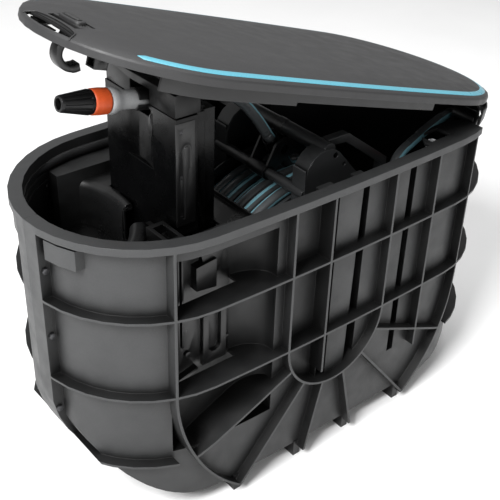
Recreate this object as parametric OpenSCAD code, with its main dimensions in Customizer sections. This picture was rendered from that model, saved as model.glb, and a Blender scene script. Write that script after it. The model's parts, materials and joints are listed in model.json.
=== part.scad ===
// In-ground garden hose box with a spring-driven reel, a lifting nozzle tower and a hinged lid.
// The frame: x runs along the box towards the lid hinge, y across it, z up from the ground.
// The lid stands open, as far as its stop lets it.

/* [Box] */
// Length of the box over its rim
box_l = 885; // [880:5:930]
// Width of the box over its rim
box_w = 402; // [400:1:420]
// How far each long side bows out past the round ends
side_bow = 5; // [4:1:8]
// Height of the rim above the ground
rim_z = 525; // [522:1:545]
// Height of the feet
foot_h = 20; // [18:1:24]
// Thickness of the moulded walls
wall_t = 4; // [3:0.5:5]
// Depth from the edge of a rib to the wall
rib_depth = 17; // [15:1:19]
// Thickness of a rib
rib_t = 4; // [3:0.5:5]
// Thickness of the flat rim
rim_t = 5; // [4:0.5:8]
// Height of the lip round the rim
lip_h = 12; // [9:1:16]
// Rounding of the lower corners along the box
corner_l = 206; // [190:2:215]
// Rounding of the lower corners upwards
corner_h = 224; // [210:2:235]
// Drop from the rim to the upper rib
rib_drop_1 = 122; // [116:1:128]
// Drop from the rim to the middle rib
rib_drop_2 = 263; // [256:1:270]
// Drop from the rim to the lower rib
rib_drop_3 = 398; // [390:1:406]

/* [Side pattern] */
// Place of the arch along the box
arch_x = -10; // [-14:1:-6]
// Drop from the rim to the centre of the arch
arch_drop = 266; // [262:1:270]
// Radius of the arch
arch_r = 309; // [300:1:312]
// Radius of the inner bow
bow_r = 106; // [100:1:110]
// Angle between the fan ribs
fan_step = 26; // [24:0.5:27]
// Depth of the panel in the inner bow
bow_depth = 13; // [8:1:18]
// Depth of the two narrow recesses in the bow
recess_depth = 24; // [16:1:24]
// Depth of the guide pocket behind the ribs
pocket_depth = 48; // [36:1:52]

/* [Lid] */
// Gap from the rim's outline to the lid's outline
lid_inset = 10; // [8:0.5:12]
// Height of the closed lid's edge above the rim
lid_lift = 5; // [4:0.5:7]
// Height of the lid's edge
lid_edge_h = 9; // [8:0.5:11]
// Height of the lid's crown above its edge
lid_crown_h = 14; // [11:0.5:18]
// Thickness of the lid
lid_t = 3; // [2.5:0.25:3.5]
// Distance of the hinge from the end of the rim
hinge_in = 22.5; // [20.5:0.5:24.5]
// Height of the hinge above the rim
hinge_up = 12; // [11:0.5:13]
// Angle of the open lid
lid_open = 17; // [12:0.5:17]
// Radius of the hinge pin
hinge_pin_r = 2.5; // [2:0.1:3]
// Width of the inlaid band
band_w = 8; // [6:0.5:10]
// Inset of the inlaid band from the lid's outline
band_inset = 9; // [8:0.5:11]

/* [Tower] */
// Place of the tower along the box
tower_x = -212; // [-216:1:-208]
// Length of the tower along the box
tower_l = 72; // [66:1:76]
// Width of the tower across the box
tower_w = 180; // [170:2:184]
// Height of the raised tower's shoulder above the rim
tower_top = 128; // [122:1:134]
// Distance that the tower travels
tower_travel = 205; // [196:1:208]
// Running gap between the tower and its guide
tower_gap = 1; // [0.8:0.1:1.5]

/* [Nozzle] */
// Tilt of the resting nozzle
nozzle_tilt = 11; // [8:1:12]
// Radius of the nozzle's mouth
nozzle_tip_r = 11; // [9:0.5:12]
// Radius of the orange collar
nozzle_head_r = 19; // [16:0.5:20]
// Length of the fluted head
nozzle_head_l = 48; // [44:1:54]
// Radius of the nozzle's body
nozzle_body_r = 14; // [12:0.5:15]

/* [Reel] */
// Place of the reel's axle along the box
reel_x = 38; // [34:1:42]
// Drop from the rim to the reel's axle
reel_drop = 270; // [266:1:272]
// Outer diameter of the hose
hose_d = 18.5; // [17.5:0.1:18.6]
// Advance of the winding in one turn
hose_pitch = 19; // [19:0.1:19.4]
// Distance between the two outer layers
hose_layer = 19.1; // [19.1:0.1:19.6]
// Radius of the outer layer at the middle of the hose
hose_wind_r = 202.5; // [200:0.5:203]
// Radius of the axle
axle_r = 12; // [10:0.5:14]
// Thickness of the drum's flanges
flange_t = 2.6; // [2:0.1:3]
// Distance of the reel stand from the side of the rim
stand_gap = 86; // [84:1:88]
// Width of one side of the reel stand
stand_t = 30; // [26:1:32]
// Radius of the stand's upper bar
bar_r = 12; // [11:0.5:12]
// Radius of the stand's lower bar
low_bar_r = 9; // [8:0.5:9.5]
// Radius of the hose guide's ball
ball_r = 20; // [18:0.5:21]

/* [Inlet] */
// Outer diameter of the feed hose
feed_d = 18; // [16:0.5:18.5]
// Place of the inlet along the box
inlet_x = 222; // [220:1:226]
// Distance of the inlet from the side of the rim
inlet_gap = 47; // [46:0.5:49]

/* [Hidden] */

$fn = 48;
seat = 0.3;
run = 0.05;
big = 1200;
half_l = box_l / 2;
half_w = box_w / 2;
// inner edge of the guide pocket, and the point that its brackets are placed from
pocket_x = arch_x - bow_r - 17;
inlet_y = -half_w + inlet_gap;
end_steps = 18;
side_steps = 6;
floor_z = foot_h;
inner_o = -rib_depth - wall_t;
hinge_z = rim_z + hinge_up;
lid_z = rim_z + lid_lift;
hinge_x = half_l - hinge_in;
// where the rim's rounded end gives way to the slats
tip_x = half_l - 131.5;
// outer face of the reel stand, inner face of the drum's flange, rim of the flange
stand_y = half_w - stand_gap;
drum_y = stand_y - 34;
flange_r = hose_wind_r + 5.5;
// outer faces of the spring's cap and of the swivel
cap_y = half_w - rib_depth - recess_depth - wall_t - 1.5;
swivel_y = cap_y - 4.5;
// edge of the tray's step down, clear of the tower's rails
step_x = tower_x + tower_l / 2 + tower_gap + 4 + seat;

// Outline of the rim, grown by o: two round ends joined by two slightly bowed sides
function oval(o, n = end_steps, m = side_steps) =
  let (r = half_w - side_bow, u = half_l - r, k = side_bow,
       c = (u * u - k * k) / (2 * k), s = half_w + c, a = atan2(c, u))
  concat(
    [for (i = [0 : n]) let (t = -a + 2 * a * i / n)
      [u + (r + o) * cos(t), (r + o) * sin(t)]],
    [for (i = [1 : m - 1]) let (t = a + (180 - 2 * a) * i / m)
      [(s + o) * cos(t), -c + (s + o) * sin(t)]],
    [for (i = [0 : n]) let (t = 180 - a + 2 * a * i / n)
      [-u + (r + o) * cos(t), (r + o) * sin(t)]],
    [for (i = [1 : m - 1]) let (t = 180 + a + (180 - 2 * a) * i / m)
      [(s + o) * cos(t), c + (s + o) * sin(t)]]);

// Side outline of the box, inset by e, with its lower corners rounded
function side_outline(e) =
  let (l = half_l - e, cx = half_l - corner_l, cz = floor_z + corner_h)
  concat(
    [[l, rim_z + 1], [-l, rim_z + 1]],
    [for (t = [0 : 9 : 90]) [-cx - (corner_l - e) * cos(t), cz - (corner_h - e) * sin(t)]],
    [for (t = [90 : -9 : 0]) [cx + (corner_l - e) * cos(t), cz - (corner_h - e) * sin(t)]]);

module plan(o) { polygon(oval(o)); }
module ring(o1, o2) { difference() { plan(o1); plan(o2); } }
module near_side() { translate([-big / 2, -big - seat / 2]) square([big, big]); }
module along_y(w) { rotate([90, 0, 0]) linear_extrude(w, center = true) children(); }
module y_rod(r, y0, y1, f = $fn) {
  translate([0, y1, 0]) rotate([90, 0, 0]) cylinder(r = r, h = y1 - y0, $fn = f);
}
module tube_y(r1, r0, y0, y1) { difference() { y_rod(r1, y0, y1); y_rod(r0, y0 - 1, y1 + 1); } }

// Solid inside the outline o and the side outline e
module block(o, e, top = rim_z) {
  intersection() {
    linear_extrude(top) intersection() { plan(o); near_side(); }
    along_y(2 * box_w) polygon(side_outline(e));
  }
}

// The guide pocket, seen from above and grown by g: deep at one end, with one rounded side
module pocket_plan(g) {
  y = -half_w + rib_depth + pocket_depth;
  x = arch_x - arch_r + rib_t - g;
  polygon([[x, -big / 2], [x, y + g], [tower_x + 12, y + g],
    for (t = [90 : -15 : 0]) [pocket_x - 55 + (55 + g) * cos(t), y - 40 + (40 + g) * sin(t)],
    [pocket_x + g, -big / 2]]);
}

// Side view of what lies inside the bow, grown by g, between two upright lines
module bow_part(g, x0, x1, x0_low) {
  r = bow_r - rib_t / 2 + g;
  intersection() {
    union() {
      translate([arch_x, rim_z - arch_drop]) circle(r, $fn = 72);
      translate([arch_x - r, rim_z - arch_drop]) square([2 * r, arch_drop - 16 + g]);
    }
    polygon([[x0 - g, rim_z], [x1 + g, rim_z], [x1 + g, 0], [x0_low - g, 0]]);
  }
}

// The upright slot beside the bow, with a round top
module slot_shape(g) {
  translate([150, rim_z - 30]) circle(7.5 + g);
  translate([142.5 - g, rim_z - rib_drop_3 - g]) square([15 + 2 * g, rib_drop_3 - 30 + g]);
}

// A pocket of depth d in the long side, grown by g
module sink(d, g) { translate([0, -half_w + rib_depth + d + g - 100, 0]) along_y(200) children(); }

module pockets(g) {
  translate([0, 0, rim_z - rib_drop_3 + 12 - g]) linear_extrude(rib_drop_3 - 48 + 2 * g) pocket_plan(g);
  sink(bow_depth, g) bow_part(g, -160, -37, -160);
  sink(recess_depth, g) bow_part(g, -36, -15, -36);
  sink(recess_depth, g) bow_part(g, 36, 49, 24);
  sink(20, g) slot_shape(g);
}

// Edges of the ribs on the side of the box, seen from the side
module side_ribs() {
  drop = rim_z - arch_drop;
  for (s = [-1, 1]) {
    translate([arch_x + s * (arch_r - rib_t / 2) - rib_t / 2, drop]) square([rib_t, arch_drop]);
    translate([arch_x + s * (bow_r - rib_t / 2) - rib_t / 2, drop]) square([rib_t, arch_drop]);
  }
  for (r = [arch_r, bow_r]) intersection() {
    translate([arch_x, drop]) difference() { circle(r, $fn = 72); circle(r - rib_t, $fn = 72); }
    translate([-half_l, -50]) square([box_l, drop + 50]);
  }
  for (a = [-2.5 : 1 : 2.5]) translate([arch_x, drop]) rotate(a * fan_step)
    translate([-rib_t / 2, -arch_r + 1]) square([rib_t, arch_r - bow_r + 1]);
  translate([194, rim_z - rib_drop_3]) square([rib_t, rib_drop_3]);
  translate([-40, rim_z - rib_drop_2 - 80]) square([rib_t, rib_drop_2 + 80]);
}

module rib_pattern() {
  for (d = [rib_drop_1, rib_drop_2]) translate([-half_l, -half_w, rim_z - d - rib_t])
    cube([box_l, half_w, rib_t]);
  for (s = [-1, 1]) {
    translate([s > 0 ? arch_x + arch_r - rib_t : -half_l, -half_w, rim_z - rib_drop_3 - rib_t])
      cube([half_l - arch_r - arch_x * s + rib_t, half_w, rib_t]);
    // strip along the seam, down the end and round the lower corner
    translate([s > 0 ? half_l - corner_l : -half_l, -28, 0]) cube([corner_l, 28, rim_z - 2]);
  }
  translate([0, -half_w, 0]) along_y(2 * (half_w - 90)) side_ribs();
}

// Grips moulded under the rim beside the seam, with finger room above them
module grips() {
  for (s = [-1, 1]) intersection() {
    block(-4, 0);
    translate([s > 0 ? half_l - 90 : -half_l, -90, rim_z - 50]) cube([90, 52, 32]);
  }
}

module feet() {
  for (x = [-190, -58, 58, 190]) translate([arch_x + x - 7, -half_w + 16, 0]) cube([14, 90, foot_h + 12]);
}

// Places of the bolts through the seam strips
module seam_bolt_places() {
  for (s = [-1, 1], d = [75, 190, 330]) translate([s * (half_l - 11), 0, rim_z - d]) children();
}

// Places of the screws that hold the reel stand down
module floor_screw_places(side) {
  for (x = [-8, 124]) translate([x, side * (stand_y - 15), 0]) children();
}

module half_shell(window) {
  difference() {
    union() {
      difference() { block(-rib_depth, 10); pockets(0); }
      intersection() { block(0, 0); union() { rib_pattern(); } }
      translate([0, 0, rim_z - rim_t]) linear_extrude(rim_t)
        intersection() { ring(0, inner_o); near_side(); }
      translate([0, 0, rim_z - lip_h]) linear_extrude(lip_h)
        intersection() { ring(0, -3); near_side(); }
      grips();
      feet();
      deck(window);
    }
    difference() { block(inner_o, 10 + wall_t, rim_z + 1); pockets(wall_t); deck(window); wall_flutes(); }
    // the rim is left out behind its rounded end, where the lid's slats move
    translate([0, 0, rim_z - 30]) linear_extrude(31) difference() {
      translate([tip_x, -half_w]) square([half_l, half_w]);
      plan(-rib_depth);
    }
    drains();
    seam_bolt_places() y_rod(3.3, -60, 10);
    floor_screw_places(-1) cylinder(r = 3.3, h = 60);
    // the ribs are notched behind their edges where the tower's bracket is fixed
    translate([-294, -half_w + rib_depth + pocket_depth - 19, rim_z - 275]) cube([105, 19, 239]);
    // recess behind the front wall that the latch drops into
    translate([-half_l + 12, -14, rim_z - 44]) cube([12, 15, 16]);
  }
}

// Shallow level flutes inside the wall at the front end
module wall_flutes() {
  for (d = [20, 34, 48]) translate([0, 0, rim_z - d]) linear_extrude(3) intersection() {
    ring(inner_o, inner_o - 2);
    translate([-half_l, -half_w]) square([half_l - 322, half_w]);
  }
}

// Flat deck by the hinge end of the rim; on the near side it has the window to the inlet
module deck(window) {
  translate([0, 0, rim_z - rim_t]) linear_extrude(rim_t) intersection() {
    plan(-5);
    difference() {
      polygon([[inlet_x - 34, -half_w], [inlet_x - 34, inlet_y - 13], [inlet_x - 18, inlet_y + 10],
        [inlet_x + 18, inlet_y + 21], [tip_x - 21, inlet_y + 23], [tip_x, inlet_y + 4], [tip_x, -half_w]]);
      if (window) translate([inlet_x - 22, inlet_y - 16]) square([46, 29]);
    }
  }
}

module drains() {
  for (s = [-1, 1], i = [0 : 3]) translate([arch_x + s * 150 + 9 * (i - 1.5) - 2, -150, -1])
    cube([4, 40, foot_h + 40]);
}

module shell_near() { color("#3c3d3e") half_shell(true); }
module shell_far() { color("#3c3d3e") mirror([0, 1, 0]) half_shell(false); }

module shell_bolts() { color("#55585a")
  seam_bolt_places() {
    y_rod(3, -28.5, 28.5);
    y_rod(5.5, -32.3, -28.3, 6);
    y_rod(5.5, 28.3, 32.3, 6);
  }
}

// Everything below the rim is drawn from the rim's level
module rz() { translate([0, 0, rim_z]) children(); }
// Upright plate from y0 to y1, drawn by its side view
module slab(y0, y1) { translate([0, y1, 0]) rotate([90, 0, 0]) linear_extrude(y1 - y0) children(); }
module at(x, z) { translate([x, 0, z]) children(); }

// Bracket in the near guide pocket: back plate, clamp, channel, U and knobs
module tower_brackets() { color("#2a2b2c")
  rz() translate([0, -half_w + rib_depth + pocket_depth - seat, 0]) {
    slab(-3, 0) polygon([[-291, -40], [-200, -40], [-190, -120], [-190, -268], [-291, -268]]);
    slab(-12, -2) polygon([[-252, -42], [-204, -42], [-214, -92], [-240, -92]]);
    slab(-18, -2) polygon([[-261, -72], [-225, -68], [-225, -117], [-261, -112]]);
    for (x = [-291, -284]) slab(-14, -2) translate([x, -208]) square([3, 168]);
    slab(-12, -2) difference() {
      translate([-244, -262]) square([43, 93]);
      translate([-234, -230]) square([23, 70]);
      translate([-222.5, -230]) circle(11.5);
    }
    for (x = [-270, -197]) at(x, -229) y_rod(5, -9, -2);
    slab(-14, -2) polygon([[-293, -266], [-256, -256], [-256, -263], [-293, -273]]);
  }
}

// Inner face of the guide pocket's back wall, less a seat
rail_side = half_w - rib_depth - pocket_depth - wall_t - seat;
// Height of the box's inner floor, which rises in the rounded corners
function floor_at(x) = let (e = 10 + wall_t, u = max(abs(x) - half_l + corner_l, 0) / (corner_l - e))
  floor_z + corner_h - rim_z - (corner_h - e) * sqrt(1 - u * u);
// Inside plan that the tray fills: the inner outline less the guide pockets
module tray_plan(x0, x1) {
  difference() {
    intersection() { plan(inner_o - seat); translate([x0, -half_w]) square([x1 - x0, box_w]); }
    bow_side = half_w - rib_depth - bow_depth - wall_t - seat;
    for (s = [-1, 1]) {
      translate([arch_x - arch_r - seat, s > 0 ? rail_side : -half_w])
        square([pocket_x + wall_t + arch_r - arch_x + 2 * seat, half_w - rail_side]);
      translate([arch_x - bow_r - 3, s > 0 ? bow_side : -half_w]) square([40, half_w - bow_side]);
    }
  }
}
module well_plan(r) { translate([tower_x - 208, 60]) circle(r, $fn = 72); }
module tower_hole(g) {
  translate([tower_x - tower_l / 2 - g, -tower_w / 2 - g]) square([tower_l + 2 * g, tower_w + 2 * g]);
}

// Tray under the lid: shelf, well for the lowered nozzle, step down towards the reel
module tray() { color("#2f3031") rz() {
  difference() {
    union() {
      translate([0, 0, -63]) linear_extrude(3) difference() {
        tray_plan(-half_l + 12.5, step_x + 3); well_plan(157); }
      translate([0, 0, -133]) linear_extrude(73) intersection() {
        tray_plan(-half_l + 12.5, step_x - 1.3); difference() { well_plan(160); well_plan(157); } }
      translate([0, 0, -60.5]) linear_extrude(3) intersection() {
        tray_plan(-half_l + 12.5, tower_x - 41); difference() { well_plan(166); well_plan(160); } }
      translate([0, 0, -133]) linear_extrude(3) intersection() {
        tray_plan(-half_l + 12.5, step_x - 1.3); well_plan(159); }
      translate([0, 0, -83]) linear_extrude(23) tray_plan(step_x, step_x + 3);
      translate([0, 0, -83]) linear_extrude(3) tray_plan(step_x, step_x + 70.7);
      translate([0, 0, -83]) linear_extrude(10) tray_plan(step_x + 67.7, step_x + 70.7);
      translate([tower_x - 72, -rail_side + 13.7, -61]) cube([30, 56, 21]);
    }
    translate([0, 0, -90]) linear_extrude(100) tower_hole(3.5);
    translate([tower_x - 88, -24, -112]) cube([60, 48, 60]);
    translate([tower_x - 66, -rail_side + 21.7, -56]) cube([18, 40, 30]);
  }
}}

// Two pairs of rails that guide the tower, with ears to the shell's pockets
module tower_guide() { color("#262728")
  rz() {
    gx = tower_x - tower_l / 2 - tower_gap; gy = tower_w / 2 + tower_gap;
    hx = tower_x + tower_l / 2 + tower_gap;
    ear = rail_side;
    top = -63 - seat;
    low = floor_at(gx - 4) + seat + 0.8;
    for (s = [-1, 1]) mirror([0, s > 0 ? 0 : 1, 0]) {
      translate([0, 0, low]) linear_extrude(top - low) polygon([
        [gx - 4, gy - 22], [gx, gy - 22], [gx, gy], [gx + 26, gy], [gx + 26, gy + 4], [gx - 4, gy + 4]]);
      translate([0, 0, low]) linear_extrude(top - low) polygon([
        [hx, gy - 6], [hx + 4, gy - 6], [hx + 4, gy + 4], [hx - 26, gy + 4], [hx - 26, gy], [hx, gy]]);
      for (z = [top - 4, -180, -300]) translate([gx - 4, gy + 3, z]) cube([hx - gx + 8, ear - gy - 3, 4]);
      translate([gx - 4, ear - 4, -300]) cube([hx - gx + 8, 4, 300 + top]);
      translate([gx - 4, -1, low]) cube([4, gy, 12]);
    }
  }
}

// Hinge: bracket on the inside of the end wall, and the pin
module hinge_bracket() { color("#262728") rz() difference() {
  union() {
    translate([0, 0, -50]) linear_extrude(50) intersection() {
      plan(inner_o - seat); translate([hinge_x - 22, -70]) square([30, 140]); }
    for (y = [-33, -7.5, 2.5, 27]) {
      w = abs(y) > 20 ? 6 : 5;
      at(hinge_x, hinge_up) y_rod(4.6, y, y + w);
      translate([hinge_x - 20, y, -6]) cube([6, w, hinge_up + 6]);
      translate([hinge_x - 20, y, 1]) cube([20, w, hinge_up - 1]);
    }
  }
  at(hinge_x, hinge_up) y_rod(hinge_pin_r + run, -90, 90);
}}
module hinge_pin() { color("#b8bcc0") rz() at(hinge_x, hinge_up) y_rod(hinge_pin_r, -33, 33); }
module hinge_covers() { color("#232425") rz() for (s = [-1, 1]) mirror([0, s > 0 ? 0 : 1, 0])
  intersection() {
    translate([0, 0, -40]) linear_extrude(60) plan(inner_o - seat);
    union() {
      at(hinge_x - 89, -3) y_rod(14, half_w - 89, half_w - 31);
      translate([hinge_x - 97, half_w - 85, -34]) cube([16, 60, 30]);
    }
  }
}

// Water inlet below the deck's window
module inlet_at() { rz() translate([inlet_x, inlet_y, 0]) children(); }
module inlet_fitting() { color("#c9ccce") inlet_at() rotate_extrude()
  polygon([[5.5, -46], [11, -46], [11, -34], [9.5, -32], [9.5, -16], [8, -13], [8, -11], [5.5, -11]]); }
module inlet_collar() { color("#c5372c") inlet_at() difference() {
  union() { translate([0, 0, -60]) cylinder(r = 12.5, h = 13.7);
    for (i = [0 : 11]) rotate(i * 30) translate([12, -1.2, -60]) cube([1.6, 2.4, 13.7]); }
  translate([0, 0, -61]) cylinder(r = 5.5, h = 20);
}}
module inlet_valve() { color("#2c2d2e") rz() difference() {
  union() {
    translate([inlet_x, inlet_y, -78]) cylinder(r = 11, h = 18 - seat);
    intersection() {
      translate([0, 0, -78]) linear_extrude(12) plan(inner_o - seat);
      translate([inlet_x - 9, -half_w, -76]) cube([18, half_w + inlet_y, 9]);
    }
  }
  translate([inlet_x, inlet_y, -79]) cylinder(r = 5.5, h = 20);
}}

// Tube through a list of points, ring by ring
function unit(v) = v / norm(v);
function dir(p, i) = unit(p[min(i + 1, len(p) - 1)] - p[max(i - 1, 0)]);
function level(n, t) = unit(n - (n * t) * t);
function frames(p, n0) = [for (i = 0, n = level(n0, dir(p, 0)); i < len(p);
  i = i + 1, n = i < len(p) ? level(n, dir(p, i)) : n) n];
function tube_points(p, n0, r, k) = let (f = frames(p, n0)) [for (i = [0 : len(p) - 1])
  let (t = dir(p, i), n = f[i], b = cross(t, n))
  for (j = [0 : k - 1]) p[i] + r * (n * cos(360 * j / k) + b * sin(360 * j / k))];
function tube_faces(m, k) = concat(
  [[for (j = [0 : k - 1]) j]], [[for (j = [k - 1 : -1 : 0]) (m - 1) * k + j]],
  [for (i = [0 : m - 2], j = [0 : k - 1]) let (a = i * k + j, b = i * k + (j + 1) % k)
    [a, a + k, b + k]],
  [for (i = [0 : m - 2], j = [0 : k - 1]) let (a = i * k + j, b = i * k + (j + 1) % k)
    [a, b + k, b]]);
module tube_along(p, n0, r, k) {
  polyhedron(points = tube_points(p, n0, r, k), faces = tube_faces(len(p), k));
}
// Smooth curve through the route's points, n steps between two of them
function bend(a, b, c, d, t) = b + t * (c - a) / 2 + t * t * (2 * a - 5 * b + 4 * c - d) / 2
  + t * t * t * (3 * b - a - 3 * c + d) / 2;
function smooth(q, n) = [for (i = [0 : len(q) - 2], k = [0 : (i == len(q) - 2 ? n : n - 1)])
  bend(q[max(i - 1, 0)], q[i], q[i + 1], q[min(i + 2, len(q) - 1)], k / n)];

reel_z = -reel_drop;
feed_route = [[reel_x + 22.8, -swivel_y + 9, reel_z], [reel_x + 42, -swivel_y + 9, reel_z],
  [reel_x + 92, -swivel_y + 8, reel_z + 15], [reel_x + 134, -swivel_y + 14, -190],
  [reel_x + 144, -stand_y - 2, -116], [reel_x + 162, -stand_y + 15, -64],
  [tip_x - 61, -stand_y + 19, -38], [tip_x + 1, -stand_y + 20, -16], [tip_x + 35, -stand_y + 23, -18],
  [tip_x + 53, -stand_y + 33, -50], [tip_x + 53, -stand_y + 35, -100], [tip_x + 33, -stand_y + 17, -150],
  [tip_x - 11, -stand_y - 17, -178], [inlet_x + 32, inlet_y + 6, -166], [inlet_x + 6, inlet_y, -130],
  [inlet_x, inlet_y, -98], [inlet_x, inlet_y, -78.5]];
module feed_hose() { color("#56595c") rz() tube_along(smooth(feed_route, 4), [0, 1, 0], feed_d / 2, 10); }

// Swivel that brings the water to the axle
module swivel_elbow() { color("#2c2d2e") rz() difference() {
  union() {
    at(reel_x, reel_z) y_rod(axle_r + 5, -swivel_y, -stand_y - 2);
    translate([reel_x, -swivel_y + 9, reel_z]) rotate([0, 90, 0]) cylinder(r = 8, h = 22 - seat);
    translate([reel_x - 8, -stand_y - 13, reel_z - 58]) cube([16, 10, 50]);
    translate([reel_x - 8, -stand_y - 13, reel_z - 58]) cube([16, 13 - seat, 12]);
  }
  at(reel_x, reel_z) y_rod(axle_r + run, -stand_y - 20, -stand_y + 5);
}}

// Side view of one side of the reel stand, inset by e
stand_floor = floor_z + 10 + wall_t - rim_z + seat;
bar_z = 11.2;
function stand_view(e) = concat(
  [[-24 + e, stand_floor + e], [-24 + e, -8]],
  [for (a = [170 : -20 : 50]) [18 + reel_x - 38 + (42 - e) * cos(a), -28 + (44 - e) * sin(a)]],
  [[98 - e, -54 - e / 2], [140 - e, -160], [140 - e, stand_floor + e]]);
module stand_bars(g) {
  at(27, bar_z) y_rod(bar_r + g, -stand_y + 3, -seat / 2);
  at(-19, -52) y_rod(low_bar_r + g, -stand_y + 3, -seat / 2);
}
module stand_side() {
  rz() difference() {
    union() {
      slab(-stand_y, -stand_y + 4) polygon(stand_view(0));
      slab(-stand_y, -stand_y + stand_t) difference() { polygon(stand_view(0)); polygon(stand_view(4)); }
      stand_bars(0);
      at(27, bar_z) y_rod(bar_r + 1, -9, -seat / 2);
      at(reel_x, reel_z) y_rod(axle_r + 12, -stand_y, -stand_y + 11);
      at(58, -20) y_rod(8, -stand_y, -stand_y + 25);
      for (z = [-170, -380]) slab(-stand_y + 3, -stand_y + stand_t - 6) translate([-22, z]) square([158, 3]);
    }
    at(reel_x, reel_z) y_rod(axle_r + 4 + seat, -stand_y - 5, -stand_y + 15);
    at(58, -20) y_rod(4 + run, -stand_y - 5, -stand_y + 35);
    at(38, 1) y_rod(5, -stand_y - 5, -stand_y + 15);
    at(27, bar_z) y_rod(bar_r - 4, -stand_y + 10, 1);
    translate([0, 0, -rim_z]) floor_screw_places(-1) cylinder(r = 3.3, h = 80);
    at(100, -215) y_rod(4 + seat, -stand_y - 5, -stand_y + 15);
    for (x = [2, 76]) slab(-stand_y - 5, -stand_y + 10) translate([x, -130]) circle(12);
  }
}
module stand_near() { color("#232425") stand_side(); }
module stand_far() { color("#232425") mirror([0, 1, 0]) stand_side(); }
module stand_brace() { color("#232425") rz() difference() {
  slab(-stand_y + 14, -stand_y + 29) polygon([[33, 12], [33, 22.6], [78, 22.6], [174, -48], [176, -120],
    [145, -140], [141, -150], [140, -124], [160, -116], [160, -56], [74, 8], [52, 10]]);
  slab(-stand_y - 5, -stand_y + 35) polygon(stand_view(-seat));
  at(27, bar_z) y_rod(bar_r + seat, -stand_y - 5, 0);
}}
module stand_bolts() { color("#6a6d70") for (s = [-1, 1]) floor_screw_places(s) {
  translate([0, 0, 28]) cylinder(r = 3, h = 12);
  translate([0, 0, floor_z + 10 + wall_t + 4 + 2 * seat]) cylinder(r = 6, h = 4, $fn = 6);
}}
module axle_bushes() { color("#d9d6cc")
  rz() at(reel_x, reel_z) for (s = [-1, 1]) mirror([0, s > 0 ? 0 : 1, 0])
  difference() {
    union() {
      y_rod(axle_r + 4, stand_y - 13.5, stand_y - seat);
      y_rod(axle_r + 7, stand_y - 14, stand_y - 11 - seat);
    }
    y_rod(axle_r + run, stand_y - 25, stand_y + 15);
  }
}
module spring_case() { color("#2c2d2e") rz() at(reel_x, reel_z) {
  tube_y(70, axle_r + 6, stand_y + 12, stand_y + 15);
  tube_y(70, 66, stand_y + 14, cap_y - 4.5);
  // feet that stand off the side of the reel stand, clear of the belt
  for (a = [150, 210, 270]) rotate([0, -a, 0]) at(58, 0) y_rod(5, stand_y + seat, stand_y + 14);
}}
module spring_cap() { color("#2c2d2e") rz() at(reel_x, reel_z) {
  y_rod(70, cap_y - 4.5 + seat, cap_y - 1.5);
  y_rod(30, cap_y - 2.5, cap_y);
} }
function spiral(t) = let (r = axle_r + 3 + 48 * t) [r * cos(1620 * t), r * sin(1620 * t)];
module mainspring() { color("#8d9194")
  rz() at(reel_x, reel_z) slab(stand_y + 15 + seat, cap_y - 6.5) polygon(concat(
  [for (i = [0 : 90]) spiral(i / 90)],
  [for (i = [90 : -1 : 0]) spiral(i / 90) * (1 + 1.4 / norm(spiral(i / 90)))])); }

module belt_view(g) { hull() {
  translate([reel_x, reel_z]) circle(40 + g);
  translate([58, -20]) circle(12 + g);
} }
module drive_belt() { color("#1b1c1d")
  rz() slab(stand_y + 4, stand_y + 8) difference() { belt_view(2); belt_view(seat); } }
module pawl_pin() { color("#8d9194")
  rz() at(100, -215) { y_rod(4, stand_y - 23, stand_y + 1); y_rod(7, stand_y - 25, stand_y - 21); } }

// Drum, turning about the axle
module axle() { color("#8d9194") rz() at(reel_x, reel_z) y_rod(axle_r, -stand_y - 18.5, cap_y - 6.5); }
module drum_hub() { color("#232425") rz() at(reel_x, reel_z) {
  tube_y(90, 86, -drum_y, drum_y);
  for (s = [-1, 1]) mirror([0, s > 0 ? 0 : 1, 0]) difference() {
    union() {
      y_rod(flange_r, drum_y, drum_y + flange_t, 96);
      y_rod(axle_r + 12, drum_y - 21, drum_y + 2);
    }
    y_rod(axle_r + seat, drum_y - 31, drum_y + 19);
    for (i = [0 : 5]) rotate([0, i * 60, 0]) at(56, 0) y_rod(20, drum_y - 11, drum_y + 19);
    for (i = [0 : 11]) rotate([0, i * 30 + 15, 0]) slab(drum_y - 11, drum_y + 19)
      translate([110, -9]) square([48, 18]);
  }
}}
core_r = (hose_wind_r - hose_layer - hose_d / 2) * cos(7.5) - 0.2;
module drum_core() { color("#3f4245") rz() at(reel_x, reel_z) {
  difference() {
    y_rod(core_r, -drum_y + seat, drum_y - seat, 72);
    y_rod(90 + seat, -drum_y - 1, drum_y + 1, 72);
  }
  rotate([0, -wind_angle(0), 0]) translate([core_r - 2, drum_y - 17, -hose_d - seat - 12])
    cube([14, 15.8, 12]);
}}
// turns of the lower layer, as many as the drum's width holds, and half of them above it
turns_low = floor((2 * drum_y - 1 - hose_d) / hose_pitch + 0.01 - 0.5);
turns_top = (turns_low + 0.5) / 2;
turns_all = turns_low + 0.5 + turns_top;
wind_y0 = hose_pitch * turns_top;
function wind_angle(t) = 78 - 360 * (turns_all - t);
function wind_y(t) = t < turns_low + 0.5 ? wind_y0 - 2 * wind_y0 * t / (turns_low + 0.5)
  : -wind_y0 + wind_y0 * (t - turns_low - 0.5) / turns_top;
function wind_r(t) = let (s = min(max(t - turns_low, 0), 0.5)) hose_wind_r - hose_layer * sqrt(1 - 4 * s * s);
function wind_out(t) = [cos(wind_angle(t)), 0, sin(wind_angle(t))];
function wind_along(t) = [-sin(wind_angle(t)), 0, cos(wind_angle(t))];
function wind_mid(t) = [reel_x, wind_y(t), reel_z] + wind_r(t) * wind_out(t);
wind_n = round(24 * turns_all);
wind_rings = concat([[wind_mid(0) - hose_d * wind_along(0), wind_out(0)]],
  [for (i = [0 : wind_n]) let (t = turns_all * i / wind_n) [wind_mid(t), wind_out(t)]],
  [[wind_mid(turns_all) + hose_d * wind_along(turns_all), wind_out(turns_all)]]);
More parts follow.
